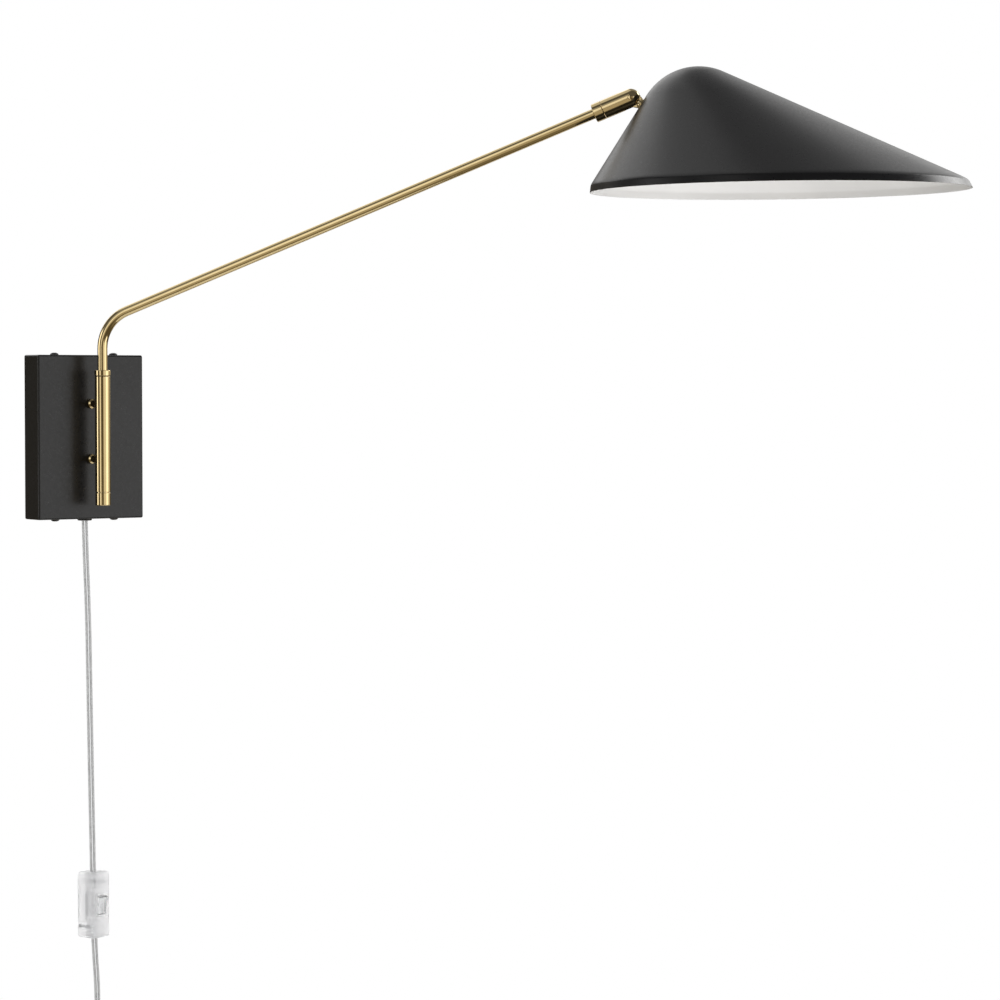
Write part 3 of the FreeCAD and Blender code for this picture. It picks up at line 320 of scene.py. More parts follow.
def layered(name, sections, place):
    """A solid through flat outlines [(z, outline)], closed at both ends."""
    rings = [[place @ (Vector((x, y, z)) * MM) for x, y in outline] for z, outline in sections]
    ends = [[sum(ring, Vector((0, 0, 0))) / len(ring)] for ring in (rings[0], rings[-1])]
    return skin(name, [ends[0], *rings, ends[1]])


def turned_about(place, axis, degrees):
    return place @ Matrix.Rotation(math.radians(degrees), 4, axis)


def shifted(place, x=0, y=0, z=0):
    return place @ Matrix.Translation(Vector((x, y, z)) * MM)


# moves every axis on by one: X to Y, Y to Z and Z to X
AXES_ON = Matrix(((0, 0, 1, 0), (1, 0, 0, 0), (0, 1, 0, 0), (0, 0, 0, 1)))


def piece(thing, slot, body, *stands_for, look=None):
    """Gives an object its slot's material, puts it in its body and hides the CAD nodes that it
    stands for.

    The material is the slot's own, unless a look is named.
    """
    thing.data.materials.clear()
    thing.data.materials.append(MATERIALS[look or slot])
    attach(thing, body)
    if stands_for:
        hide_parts(*stands_for)
    return thing


# ---------------------------------------------------------------- materials

# the part of the noise's range that takes up nearly all of its values
NOISE_SPAN = (0.3, 0.7)
# strands round the conductor and per 10 mm of its length
STRAND_TWIST = (7, 3, 0)


def add_node(tree, kind, inputs=None, **settings):
    """A node. Its inputs are numbers or other nodes' outputs, by the input's name or number."""
    node = tree.nodes.new(kind)
    for key, setting in settings.items():
        setattr(node, key, setting)
    for key, source in (inputs or {}).items():
        if isinstance(source, bpy.types.NodeSocket):
            tree.links.new(source, node.inputs[key])
        else:
            node.inputs[key].default_value = source
    return node


def worked_out(tree, operation, *inputs):
    """What a maths node makes of its inputs."""
    node = add_node(tree, "ShaderNodeMath", dict(enumerate(inputs)), operation=operation)
    return node.outputs["Value"]


def object_noise(tree, scale, detail):
    """Noise in the object's own metres, scale in cells per metre."""
    place = add_node(tree, "ShaderNodeTexCoord").outputs["Object"]
    noise = add_node(tree, "ShaderNodeTexNoise", {
        "Vector": place, "Scale": scale, "Detail": detail})
    return noise.outputs["Fac"]


def ranged(tree, source, low, high, span=NOISE_SPAN, **settings):
    """The source's values across span, stretched between two numbers."""
    spread = add_node(tree, "ShaderNodeMapRange", {
        "Value": source, "From Min": span[0], "From Max": span[1], "To Min": low, "To Max": high,
    }, **settings)
    return spread.outputs["Result"]


def ramped(tree, source, colours, span):
    """A colour between two colours, by the source's place in span."""
    ramp = add_node(tree, "ShaderNodeValToRGB", {"Fac": source})
    for place, stop, colour in zip(span, ramp.color_ramp.elements, colours):
        stop.position = place
        stop.color = (*colour, 1)
    return ramp.outputs["Color"]


def bumped(tree, shader, source, height):
    """Bump from a 0 to 1 source, height in metres."""
    bump = add_node(tree, "ShaderNodeBump", {"Strength": 1.0, "Distance": height,
                                             "Height": source})
    tree.links.new(bump.outputs["Normal"], shader.inputs["Normal"])


def made(name, rough, colour=None, bump=None, **values):
    """A Principled material with plain values, varied by noise in the object's metres.

    rough is (scale, detail, lowest, highest), colour is (scale, detail, darkest, lightest) and
    bump is (scale, detail, height in metres).
    """
    material = bpy.data.materials.new(name)
    material.use_nodes = True
    tree = material.node_tree
    shader = tree.nodes["Principled BSDF"]
    for key, number in values.items():
        shader.inputs[key.replace("_", " ").title().replace("Ior", "IOR")].default_value = number
    if colour:
        scale, detail, *ends = colour
        tint = ramped(tree, object_noise(tree, scale, detail), ends, NOISE_SPAN)
        tree.links.new(tint, shader.inputs["Base Color"])
    scale, detail, low, high = rough
    roughness = ranged(tree, object_noise(tree, scale, detail), low, high)
    tree.links.new(roughness, shader.inputs["Roughness"])
    if bump:
        scale, detail, height = bump
        bumped(tree, shader, object_noise(tree, scale, detail), height)
    return material


def moulded(dark, light, rough=(0.4, 0.5)):
    """Opaque moulded plastic with a fine spark-eroded texture."""
    return {"rough": (800, 2, *rough), "colour": (60, 3, dark, light), "bump": (3000, 2, 6e-6),
            "specular_ior_level": 0.45}


def clear(tint, rough, waviness, ior, clearness=1.0):
    """Clear or milky plastic with a slightly uneven surface."""
    return {"rough": (500, 2, *rough), "bump": (140, 3, waviness), "base_color": (*tint, 1),
            "transmission_weight": clearness, "ior": ior}


# pale polished brass under clear lacquer
BRASS = {"rough": (600, 3, 0.07, 0.11), "colour": (60, 4, (0.78, 0.615, 0.32), (0.82, 0.65, 0.35)),
         "bump": (1800, 2, 3e-7), "metallic": 1.0, "coat_weight": 0.3, "coat_roughness": 0.04}
# satin black powder coat with fine orange peel
POWDER = {"rough": (400, 3, 0.27, 0.34), "bump": (1100, 2, 8e-6), "specular_ior_level": 0.5,
          "colour": (25, 4, (0.0105, 0.0106, 0.0125), (0.0142, 0.0142, 0.0165))}
# the shade's white lining, with soft roller waves
ENAMEL = {"rough": (300, 2, 0.3, 0.42), "colour": (18, 3, (0.79, 0.79, 0.785), (0.83, 0.83, 0.825)),
          "bump": (700, 2, 1e-5), "specular_ior_level": 0.4}
# zinc or nickel-plated metal with a cloudy skin
STEEL = {"rough": (500, 3, 0.28, 0.45), "colour": (160, 4, (0.5, 0.52, 0.55), (0.62, 0.63, 0.62)),
         "bump": (1500, 2, 6e-6), "metallic": 1.0}
TINNED = {"rough": (900, 2, 0.25, 0.4), "metallic": 1.0,
          "colour": (300, 3, (0.55, 0.55, 0.55), (0.74, 0.74, 0.73))}

MATERIALS = {name: made(name, **look) for name, look in {
    "satin_brass": BRASS,
    "contact_brass": STEEL,
    "black_powder": POWDER,
    "white_enamel": ENAMEL,
    "zinc_steel": STEEL,
    "bulb_cap": STEEL,
    "tinned_copper": TINNED,
    "black_nylon": moulded((0.012, 0.012, 0.013), (0.02, 0.02, 0.021)),
    "white_nylon": moulded((0.62, 0.61, 0.57), (0.7, 0.69, 0.65)),
    "wire_white": moulded((0.66, 0.66, 0.64), (0.74, 0.74, 0.72)),
    "phenolic": moulded((0.01, 0.01, 0.01), (0.02, 0.018, 0.016), (0.25, 0.35)),
    "plug_plastic": clear((0.86, 0.87, 0.87), (0.06, 0.16), 5e-5, 1.53),
    "tie_plastic": clear((0.85, 0.85, 0.85), (0.1, 0.2), 3e-5, 1.53),
    "clear_cord": clear((0.83, 0.835, 0.84), (0.06, 0.16), 8e-5, 1.5),
    "clear_plastic": clear((0.94, 0.94, 0.945), (0.45, 0.55), 4e-5, 1.2, 0.9),
    "glassy": clear((0.9, 0.905, 0.91), (0.02, 0.08), 8e-4, 1.52),
    "bulb_glass": clear((0.95, 0.95, 0.95), (0.3, 0.4), 2e-5, 1.5),
}.items()}


def twist_strands(tree):
    """Raises twisted strands along the piece's own length."""
    place = add_node(tree, "ShaderNodeTexCoord").outputs["UV"]
    twist = add_node(tree, "ShaderNodeVectorMath", {0: place, 1: STRAND_TWIST},
                     operation="DOT_PRODUCT")
    wave = worked_out(tree, "PINGPONG", twist.outputs["Value"], 0.5)
    bumped(tree, tree.nodes["Principled BSDF"], wave, 2.5e-4)


twist_strands(MATERIALS["tinned_copper"].node_tree)


# ---------------------------------------------------------------- shade


def shade_section(height, inset):
    """The shade's level section, a circle: its centre along X and its radius."""
    dome = SHADE["dome"] - inset
    edges = []
    for side, slope in ((-1, SHADE["steep"]), (1, SHADE["shallow"])):
        angle = math.radians(slope)
        touch = SHADE["dome_z"] + dome * math.cos(angle)
        if height < touch:
            reach = dome * math.sin(angle) + (touch - height) / math.tan(angle)
        else:
            reach = math.sqrt(max(dome**2 - (height - SHADE["dome_z"]) ** 2, 0))
        edges.append(SHADE["dome_x"] + side * reach)
    return sum(edges) / 2, (edges[1] - edges[0]) / 2


def shade_rings(inset, segments=192):
    """Rings of the shade's form from the crown to the rim, in the row frame."""
    place = at_shade()
    top = SHADE["dome_z"] + SHADE["dome"] - inset
    shoulder = SHADE["dome_z"] + SHADE["dome"] * math.cos(math.radians(SHADE["steep"]))
    crown = [top - (top - shoulder) * (i / 36) ** 2 for i in range(1, 37)]
    crease_start = SHADE["lip"] + 3
    cone = [shoulder - (shoulder - crease_start) * i / 30 for i in range(1, 31)]
    sections = [(height, *shade_section(height, inset)) for height in crown + cone]
    lip_centre, lip_radius = shade_section(SHADE["lip"], inset)
    start = sections[-1]
    corner = (SHADE["lip"], lip_centre, lip_radius)
    share = 1.5 / SHADE["lip"]
    rim = SHADE["rim"] - inset
    end = (SHADE["lip"] * (1 - share), lip_centre * (1 - share),
           lip_radius + (rim - lip_radius) * share)
    for i in range(1, 9):
        mix = i / 8
        sections.append(tuple(
            (1 - mix) ** 2 * a + 2 * mix * (1 - mix) * b + mix**2 * c
            for a, b, c in zip(start, corner, end)))
    for i in range(1, 5):
        mix = i / 4
        sections.append((end[0] * (1 - mix), end[1] * (1 - mix),
                         end[2] + (rim - end[2]) * mix))
    rings = [[place @ Vector((SHADE["dome_x"] * MM, 0, top * MM))]]
    for height, centre, radius in sections:
        rings.append([place @ (Vector((x, y, height)) * MM)
                      for x, y in round_section(radius, centre, segments)])
    return rings


def shade():
    """The spun shade: a black outside and a white lining that share its thickness."""
    middle = SHADE["sheet"] / 2
    outside, halfway, inside = shade_rings(0), shade_rings(middle), shade_rings(SHADE["sheet"])
    black = skin("shade_outside", outside + halfway[::-1])
    white = skin("shade_lining", halfway + inside[::-1])
    for thing in (black, white):
        hole = lathe("stem_hole", [(0, 5), (5, 5), (5, 20), (0, 20)], on_stem(), 48)
        carve(thing, hole)
        finish_mesh(thing, 50)
    piece(black, "black_powder", "shade", "shade_shell")
    piece(white, "white_enamel", "shade")


# ---------------------------------------------------------------- arm


def arm_tube():
    """The bent brass tube, in the arm's upright plane."""
    bend, turn_total = ARM["bend"], math.radians(90 - ARM_ELEVATION)
    tangent = bend * math.tan(turn_total / 2)
    up, out = Vector((0, 0, 1)), forward
    base = swing_origin
    points = [base + up * ARM["low"] * MM]
    bend_start = base + up * (ARM["corner"] - tangent) * MM
    centre = bend_start + out * bend * MM
    steps = 32
    points += [points[0].lerp(bend_start, share) for share in (0.25, 0.5, 0.75)]
    for i in range(steps + 1):
        turn = turn_total * i / steps
        points.append(centre + (up * math.sin(turn) - out * math.cos(turn)) * bend * MM)
    tip = base + up * ARM["corner"] * MM + arm_axis * ARM["end"] * MM
    start = points[-1]
    points += [start.lerp(tip, i / 12) for i in range(1, 13)]
    rings = []
    for wall in (ARM["diameter"] / 2, ARM["bore"] / 2):
        layer = []
        for i, point in enumerate(points):
            before, after = points[max(i - 1, 0)], points[min(i + 1, len(points) - 1)]
            heading = (after - before).normalized()
            side = heading.cross(tilt_axis)
            ring = []
            for k in range(64):
                angle = 2 * math.pi * k / 64
                offset = side * math.cos(angle) - tilt_axis * math.sin(angle)
                ring.append(point + offset * wall * MM)
            layer.append(ring)
        rings += layer if not rings else layer[::-1]
    tube = finish_mesh(skin("brass_arm", rings, wrap=True))
    piece(tube, "satin_brass", "arm", "arm_tube")


def turned_piece(name, corners, place, body, node, slot="satin_brass", steps=4):
    """A turned piece that stands for one node, from corners (radius, height, rounding)."""
    thing = finish_mesh(lathe(name, soften(corners, steps), place))
    return piece(thing, slot, body, node)


def pivot_parts():
    """The sleeve, its collar above and its end cap below."""
    place = upright(swing_origin)
    outer, bore = SLEEVE["diameter"] / 2, SLEEVE["bore"] / 2
    low, high = SLEEVE["low"], SLEEVE["high"]
    turned_piece("brass_sleeve", [
        (bore, low, 0.2), (outer, low, 0.3), (outer, high, 0.3), (bore, high, 0.2),
    ], place, "wall_mount", "pivot_sleeve")
    outer, bore = COLLAR["diameter"] / 2, ARM["diameter"] / 2 + 0.02
    low, high = COLLAR["low"], COLLAR["high"]
    turned_piece("brass_collar", [
        (bore, low, 0), (outer, low, 0.25), (outer, high, 0.5), (bore, high, 0),
    ], place, "arm", "arm_collar")
    outer, neck, spigot = CAP["diameter"] / 2, CAP["neck"] / 2, SLEEVE["bore"] / 2 - 0.02
    low, high = CAP["low"], CAP["high"]
    turned_piece("brass_end_cap", [
        (0, low, 0), (outer, low, 0.7), (outer, high, 0.3), (neck, high, 0.1),
        (neck, high + 0.8, 0), (spigot, high + 0.8, 0), (spigot, high + 4.8, 0),
        (4, high + 4.8, 0), (4, low + 4, 0), (0, low + 4, 0),
    ], place, "wall_mount", "sleeve_end_cap")


def posts():
    """The two posts between the cover and the sleeve, each with a domed foot."""
    spigot, foot, barrel, bore = (POST[key] / 2 for key in ("spigot", "foot", "barrel", "bore"))
    for name, height in POSTS.items():
        start = Vector((0, -PLATE["depth"], height)) * MM
        place = frame_at(start, Vector((0, -1, 0)), Vector((0, 0, 1)))
        profile = soften([
            (bore, -POST["spigot_length"], 0), (spigot, -POST["spigot_length"], 0.5),
            (spigot, 0, 0), (foot, 0, 0.2), (foot, POST["foot_height"], 0.3),
            (barrel, POST["shoulder"], 0), (barrel, POST["reach"], 0), (bore, POST["reach"], 0),
        ], 8)
        body = lathe(name + "_brass", profile, place)
        saddle = rod("saddle", SLEEVE["diameter"], height - POST["saddle"],
                     height + POST["saddle"], upright(swing_origin), 96)
        finish_mesh(carve(body, saddle))
        piece(body, "satin_brass", "wall_mount", name)


def knuckle_parts():
    """The collar at the arm's end and the slotted, round-ended barrel."""
    outer = KNUCKLE["diameter"] / 2
    place = on_arm()
    start, gap = KNUCKLE["start"], KNUCKLE["gap"]
    socket, chamber, hole = (SWIVEL[key] for key in ("socket", "chamber", "hole"))
    near, far = start + SWIVEL["chamber_start"], start + SWIVEL["chamber_end"]
    turned_piece("brass_knuckle_collar", [
        (socket, start, 0), (outer, start, 0.7), (outer, gap, 0.35), (hole, gap, 0),
        (hole, far, 0), (chamber, far, 0), (chamber, near, 0), (socket, near, 0),
    ], place, "arm", "knuckle_collar")
    pivot, barrel = KNUCKLE["pivot"], KNUCKLE["barrel"]
    dome = [(outer * math.cos(a), pivot + outer * math.sin(a))
            for a in (math.radians(90 * i / 20) for i in range(1, 20))]
    neck, wire, end = SWIVEL["neck"], SWIVEL["wire"], barrel - SWIVEL["neck_length"]
    profile = soften([(wire, end, 0), (neck, end, 0), (neck, barrel, 0), (outer, barrel, 0.35),
                      (outer, pivot, 0)], 4)
    profile += [Vector(point) for point in dome] + [Vector((wire, pivot + outer - 0.1))]
    body = lathe("brass_knuckle", profile, place)
    half = KNUCKLE["slot"] / 2
    slot = block("slot", (-15, -half, pivot - KNUCKLE["slot_behind"]), (15, half, pivot + 15),
                 place)
    hole = SWIVEL["pin_hole"]
    pin = lathe("pin_hole", [(0, -12), (hole, -12), (hole, 12), (0, 12)],
                frame_at(tilt_origin, tilt_axis, arm_axis), 48)
    finish_mesh(carve(body, slot, pin), 30)
    piece(body, "satin_brass", "knuckle", "knuckle_body")


def tongue_parts():
    """The pin, the tongue with its stem and nipple, and the washer against the shade."""
    half = KNUCKLE["pin_length"] / 2
    across = frame_at(tilt_origin, tilt_axis, arm_axis)
    radius = KNUCKLE["pin"] / 2 - 0.01
    turned_piece("brass_pin", [
        (0, -half, 0), (radius, -half, 0.5), (radius, half, 0.5), (0, half, 0),
    ], across, "knuckle", "pivot_pin")
    seat, washer, nipple = STEM["seat"], STEM["washer"] / 2, STEM["nipple"] / 2
    turned_piece("brass_seat_washer", [
        (nipple + 0.05, seat, 0), (washer, seat, 0.3), (washer, seat + 1, 0.3),
        (nipple + 0.05, seat + 1, 0),
    ], on_stem(), "shade", "seat_washer")
    disc, stem = STEM["tongue"] / 2, STEM["diameter"] / 2
    outline = [(disc * math.cos(a), disc * math.sin(a))
               for a in (math.pi + math.pi * i / 32 for i in range(33))]
    outline += [(stem, STEM["start"]), (-stem, STEM["start"])]
    flat = turned_about(on_stem(), "X", 90)
    thick = STEM["thickness"] / 2
    tongue = bevelled(prism("brass_tongue", outline, -thick, thick, flat), 0.6)
    shaft = lathe("shaft", soften([
        (0, 6, 0), (2.8, 6, 0), (stem, STEM["start"], 0), (stem, seat, 0.3), (nipple, seat, 0),
        (nipple, STEM["end"], 0.4), (0, STEM["end"], 0),
    ], 3), on_stem())
    combine(tongue, "UNION", shaft)
    carve(tongue, rod("wire_way", STEM["bore"], STEM["bore_start"], STEM["end"] + 1, on_stem()),
          rod("pin_hole", KNUCKLE["pin"] + 0.1, -6, 6, across))
    finish_mesh(tongue)
    piece(tongue, "satin_brass", "shade", "swivel_tongue")


def hexagon_nut(name, flats, bore, height, place):
    """A nut whose corners are turned off above and below."""
    corner = flats / 2 / math.cos(math.radians(30))
    outline = [(corner * math.cos(a), corner * math.sin(a))
               for a in (math.radians(60 * i) for i in range(6))]
    nut = prism(name, outline, 0, height, place)
    lift = (corner - flats / 2) * 0.7
    drum = lathe("drum", [(0, 0), (flats / 2, 0), (corner + 0.01, lift),
                          (corner + 0.01, height - lift), (flats / 2, height), (0, height)], place)
    combine(nut, "INTERSECT", drum)
    return finish_mesh(carve(nut, rod("bore", bore, -1, height + 1, place)))


# ---------------------------------------------------------------- inside the shade


def lamp():
    """The stem nut, the lampholder and the bulb."""
    nut = hexagon_nut("steel_stem_nut", STEM["nut_flats"], STEM["nipple"] + 0.1,
                      STEM["nut_height"], on_stem(STEM["nut"]))
    piece(nut, "zinc_steel", "shade", "stem_nut")
    place, outer, bore = on_stem(HOLDER["start"]), HOLDER["diameter"] / 2, STEM["nipple"] / 2 + 0.05
    turned_piece("holder_cap", [
        (bore, 0, 0), (outer - 3, 0, 1), (outer, 3, 1.5), (outer, HOLDER["cap"], 0.4),
        (bore, HOLDER["cap"], 0),
    ], place, "shade", "lampholder_cap", "phenolic")
    low, length = HOLDER["cap"] + 0.02, HOLDER["length"]
    ribs = [(outer - 0.5 * (i % 2), low + 3 + 2 * i, 0.3) for i in range(1, 12)]
    turned_piece("holder_body", [
        (2.1, low, 0), (outer, low, 0.4), *ribs, (outer, low + length, 0.8),
        (outer - HOLDER["wall"], low + length, 0.5),
        (outer - HOLDER["wall"], low + HOLDER["floor"], 0), (2.1, low + HOLDER["floor"], 0),
    ], place, "shade", "lampholder_body", "phenolic")
    place, base = on_stem(BULB["start"]), BULB["base"] / 2
    threads = [(base - 0.7 * (i % 2), 5 + 1.7 * i, 0.45) for i in range(10)]
    turned_piece("bulb_cap", [
        (0, 0, 0), (4, 0, 0.8), (6, 1.6, 0.5), (base - 2, 3.4, 0.5), *threads,
        (base, BULB["base_length"], 0.3), (0, BULB["base_length"], 0),
    ], place, "shade", "bulb_base", "bulb_cap")
    ball, neck = BULB["diameter"] / 2, BULB["neck"] / 2
    middle, foot = BULB["end"] - BULB["start"] - ball, BULB["base_length"] + 0.02

    def skin_of(inset):
        """From the neck round to the far end, drawn in by inset."""
        around = ball - inset
        meet = math.asin((neck - inset) / around)
        sweep_of = [math.pi - meet - (math.pi - meet) * i / 40 for i in range(41)]
        curve = [(around * math.sin(a), middle + around * math.cos(a)) for a in sweep_of]
        return [(neck - inset, foot + inset)] + curve

    outside, inside = skin_of(0), skin_of(1)
    profile = [(0, foot)] + outside[:-1] + [(0, middle + ball)]
    hollow = [(0, foot + 1)] + inside[:-1] + [(0, middle + ball - 1)]
    globe = lathe("glass_globe", profile, place)
    carve(globe, lathe("hollow", hollow, place))
    finish_mesh(globe)
    piece(globe, "bulb_glass", "shade", "bulb_globe")


# ---------------------------------------------------------------- wall mount


def cover():
    """The folded black cover, its screws and the bushing that the cord leaves through."""
    width, height, depth, sheet = (PLATE[key] for key in ("width", "height", "depth", "sheet"))
    outwards = frame_at(Vector((0, 0, 0)), Vector((0, -1, 0)), Vector((0, 0, 1)))
    box = block("black_cover", (-width / 2, -height / 2, -6), (width / 2, height / 2, depth),
                outwards)
    bevelled(box, PLATE["round"], 5)
    inside = block("inside", (sheet - width / 2, sheet - height / 2, -8),
                   (width / 2 - sheet, height / 2 - sheet, depth - sheet), outwards)
    wall = block("wall", (-width, -height, -10), (width, height, 0), outwards)
    holes = [rod("post_hole", POST["spigot"] + 0.4, depth - 4, depth + 4,
                 shifted(outwards, y=z)) for z in POSTS.values()]
    across, out = SCREWS["across"], SCREWS["out"]
    holes += [rod("screw_hole", SCREWS["shank"] + 0.4, -height, height,
                  upright(Vector((side * across, out, 0)) * MM)) for side in (-1, 1)]
    holes.append(rod("cord_hole", BUSHING["barrel"] + 0.1, -height, 0,
                     upright(Vector((0, out, 0)) * MM)))
    finish_mesh(carve(box, inside, wall, *holes))
    piece(box, "black_powder", "wall_mount", "backplate_cover")
    screws = []
    head, shank = SCREWS["head"] / 2, SCREWS["shank"] / 2
    for side in (-1, 1):
        for end in (-1, 1):
            place = upright(Vector((side * across, out, end * height / 2)) * MM)
            if end < 0:
                place = turned_about(place, "X", 180)
            dome = [(head * math.sin(a), SCREWS["height"] * (0.25 + 0.75 * math.cos(a)))
                    for a in (math.radians(9 * i) for i in range(9, -1, -1))]
            profile = [(0, -SCREWS["length"]), (shank, -SCREWS["length"]), (shank, 0), (head, 0)]
            profile += [(head, 0.25 * SCREWS["height"])] + dome[:-1] + [(0, SCREWS["height"])]
            screw = lathe("cover_screw", profile, place, 48)
            slots = [block("slot", (-2.2 * x - 0.4, -2.2 * y - 0.4, SCREWS["height"] - 1.4),
                           (2.2 * x + 0.4, 2.2 * y + 0.4, 9), turned_about(place, "Z", 20))
                     for x, y in ((1, 0), (0, 1))]
            screws.append(carve(screw, *slots))
    heads = finish_mesh(merge("black_cover_screws", screws))
    piece(heads, "black_powder", "wall_mount", "cover_screws")
    flange, barrel, bore = BUSHING["flange"] / 2, BUSHING["barrel"] / 2, BUSHING["bore"] / 2
    turned_piece("nylon_bushing", [
        (bore, -BUSHING["height"], 0.6), (flange, -BUSHING["height"], 0.9), (flange, 0, 0.2),
        (barrel, 0, 0), (barrel, BUSHING["inside"], 0.5), (bore, BUSHING["inside"], 0.3),
    ], upright(Vector((0, out, -height / 2)) * MM), "wall_mount", "cord_bushing", "black_nylon")


# ---------------------------------------------------------------- inline switch


def case_screw_places():
    """Under the two case screws' heads, Z into the case."""
    back = SWITCH["depth"] / 2 - CASE_SCREW["sink"]
    return [turned_about(shifted(at_switch(), side * CASE_SCREW["across"], back,
                                 side * CASE_SCREW["up"]), "X", 90) for side in (-1, 1)]


def switch_half(name, side):
    """One half of the case: side -1 is the front, with the rocker's opening, and 1 the back."""
    width, depth, end = SWITCH["width"], SWITCH["depth"], SWITCH["end"]
    middle = SWITCH["length"] / 2
    sections = []
    for i in range(6):
        angle = math.radians(18 * i)
        inset, rise = end * (1 - math.sin(angle)), end * (1 - math.cos(angle))
        outline = rectangle(width - 2 * inset, depth - 2 * inset, SWITCH["corner"] - inset / 2, 8)
        sections.append((middle - rise, outline))
    levels = [(-z, outline) for z, outline in sections] + sections[::-1]
    case = layered(name, levels, at_switch())
    far = width * side
    other = block("other_half", (-width, min(0, -far), -2 * middle),
                  (width, max(0, -far), 2 * middle), at_switch())
    channel = rod("channel", SWITCH["channel"], -2 * middle, 2 * middle, at_switch())
    opening, length = ROCKER["opening"] / 2, ROCKER["opening_length"] / 2
    cuts = [other, channel]
    if side < 0:
        cuts.append(block("opening", (-opening, -depth, -length), (opening, 1, length),
                          at_switch()))
        axle = ROCKER["axle_length"] / 2 + 0.2
        cuts.append(rod("axle_holes", ROCKER["axle"] + 0.1, -axle, axle, axle_frame(0)))
        for up in GRIP_HEIGHTS:
            cuts.append(block("grip", (-width, -depth / 2 - 1, up),
                              (1.5 - width / 2, 3 - depth / 2, up + 1), at_switch()))
    else:
        end = length + SWITCH["chamber_beyond"]
        cuts.append(block("chamber", (-opening, -1, -end), (opening, SWITCH["chamber"], end),
                          at_switch()))
    for inwards in case_screw_places():
        cuts.append(rod("head_recess", CASE_SCREW["head"] + 0.2, -3,
                        CASE_SCREW["head_height"] + 0.1, inwards))
        cuts.append(rod("shank_recess", CASE_SCREW["shank"] + 0.2, -3, CASE_SCREW["length"] + 0.5,
                        inwards))
    bevelled(carve(case, *cuts), 0.3, 2, 50)
    return finish_mesh(case)


def axle_frame(tilt):
    """The rocker's axle: its X towards the back, its Y up and its Z along the case's width."""
    axle_y = ROCKER["axle_depth"] - SWITCH["depth"] / 2
    place = turned_about(shifted(at_switch(), y=axle_y), "X", tilt)
    return place @ AXES_ON


def inline_switch():
    """The milky case in two halves, its rocker and its two screws."""
    for name, side, node in (("case_front", -1, "switch_front_shell"),
                             ("case_back", 1, "switch_back_shell")):
        piece(switch_half(name, side), "clear_plastic", "wall_mount", node)
    sideways = axle_frame(8)
    half, crest, edge = ROCKER["length"] / 2, ROCKER["crest"], ROCKER["edge"]
    outline = soften([
        (ROCKER["back"], -half, 0.5), (ROCKER["back"], half, 0.5), (-edge, half, 0.6),
        (-crest, half - 0.8, 0.8), (-ROCKER["waist"], 0, 20), (-crest, 0.8 - half, 0.8),
        (-edge, -half, 0.6),
    ], 4)
    half = ROCKER["width"] / 2
    rocker = bevelled(prism("rocker_button", outline, -half, half, sideways), 0.3, 3, 60)
    axle = ROCKER["axle_length"] / 2
    combine(rocker, "UNION", rod("axle", ROCKER["axle"], -axle, axle, sideways, 32))
    piece(finish_mesh(rocker), "clear_plastic", "rocker", "switch_rocker", look="glassy")
    screws = []
    head, shank = CASE_SCREW["head"] / 2, CASE_SCREW["shank"] / 2
    for inwards in case_screw_places():
        screw = lathe("case_screw", soften([
            (0, 0, 0), (head, 0, 0.5), (head, CASE_SCREW["head_height"], 0),
            (shank, CASE_SCREW["head_height"], 0), (shank, CASE_SCREW["length"], 0.5),
            (0, CASE_SCREW["length"], 0),
        ], 3), inwards, 32)
        screws.append(carve(screw, block("slot", (-3, -0.35, -1), (3, 0.35, 0.7), inwards)))
    pair = finish_mesh(merge("case_screws", screws))
    piece(pair, "zinc_steel", "wall_mount", "switch_screws")


# ---------------------------------------------------------------- tie and plug


def tie():
    """The strip round the hank."""
    place = shifted(upright(Vector((HANK["x"], HANK["y"], HANK["z"])) * MM), z=-2.5)
    outer, inner = [rectangle(2 * HANK["radius"] + grow, HANK["depth"] + grow, 5 + grow / 2, 8)
                    for grow in (1.6, 0)]
    rings = [[place @ (Vector((x, y, z)) * MM) for x, y in outline]
             for z, outline in ((0, outer), (5, outer), (5, inner), (0, inner))]
    strip = bevelled(skin("tie_strip", rings, wrap=True), 0.2, 2)
    finish_mesh(strip)
    piece(strip, "tie_plastic", "wall_mount", "hank_tie")


def plug():
    """The moulded plug: a ribbed strain relief, a grip and two blades."""
    place = upright(Vector((PLUG["x"], PLUG["y"], PLUG["top"])) * MM)
    width, depth, neck, length = (PLUG[key] for key in ("width", "depth", "neck", "length"))
    sections = []
    steps = 60
    for i in range(steps + 1):
        share = i / steps
        swell = share * share * (3 - 2 * share)
        across, thick = neck + (width - neck) * swell, neck + (depth - neck) * swell
        groove = 0
        for low, high, deep, spacing in PLUG_RIBS:
            if low < share < high:
                groove = deep * max(0, math.sin(share * 2 * math.pi / spacing))
        if share > PLUG_FACE["from"]:
            near = (share - PLUG_FACE["from"]) / PLUG_FACE["share"]
            groove = PLUG_FACE["round"] * (1 - math.sqrt(1 - near**2))
        radius = min(thick / 2 - groove / 2 - 0.05, 4.4)
        sections.append((-length * share, rectangle(across - groove, thick - groove, radius, 8)))
    body = finish_mesh(layered("plug_moulding", sections[::-1], place), 50)
    piece(body, "plug_plastic", "wall_mount", "plug_body")
    blades = []
    for side in (-1, 1):
        foot = shifted(place, side * BLADE["across"], 0, -length)
        outline = rectangle(BLADE["width"], BLADE["length"], 1.4, 4, (0, -BLADE["length"] / 2))
        upright_plane = foot @ AXES_ON
        half = BLADE["thickness"] / 2
        blade = prism("blade", outline, -half, half, upright_plane)
        hole = rod("hole", 3, -2, 2, shifted(upright_plane, y=-12.5), 24)
        blades.append(bevelled(carve(blade, hole), 0.15, 2, 60))
    pair = finish_mesh(merge("plug_contacts", blades))
    piece(pair, "contact_brass", "wall_mount", "plug_blades")


# ---------------------------------------------------------------- cords

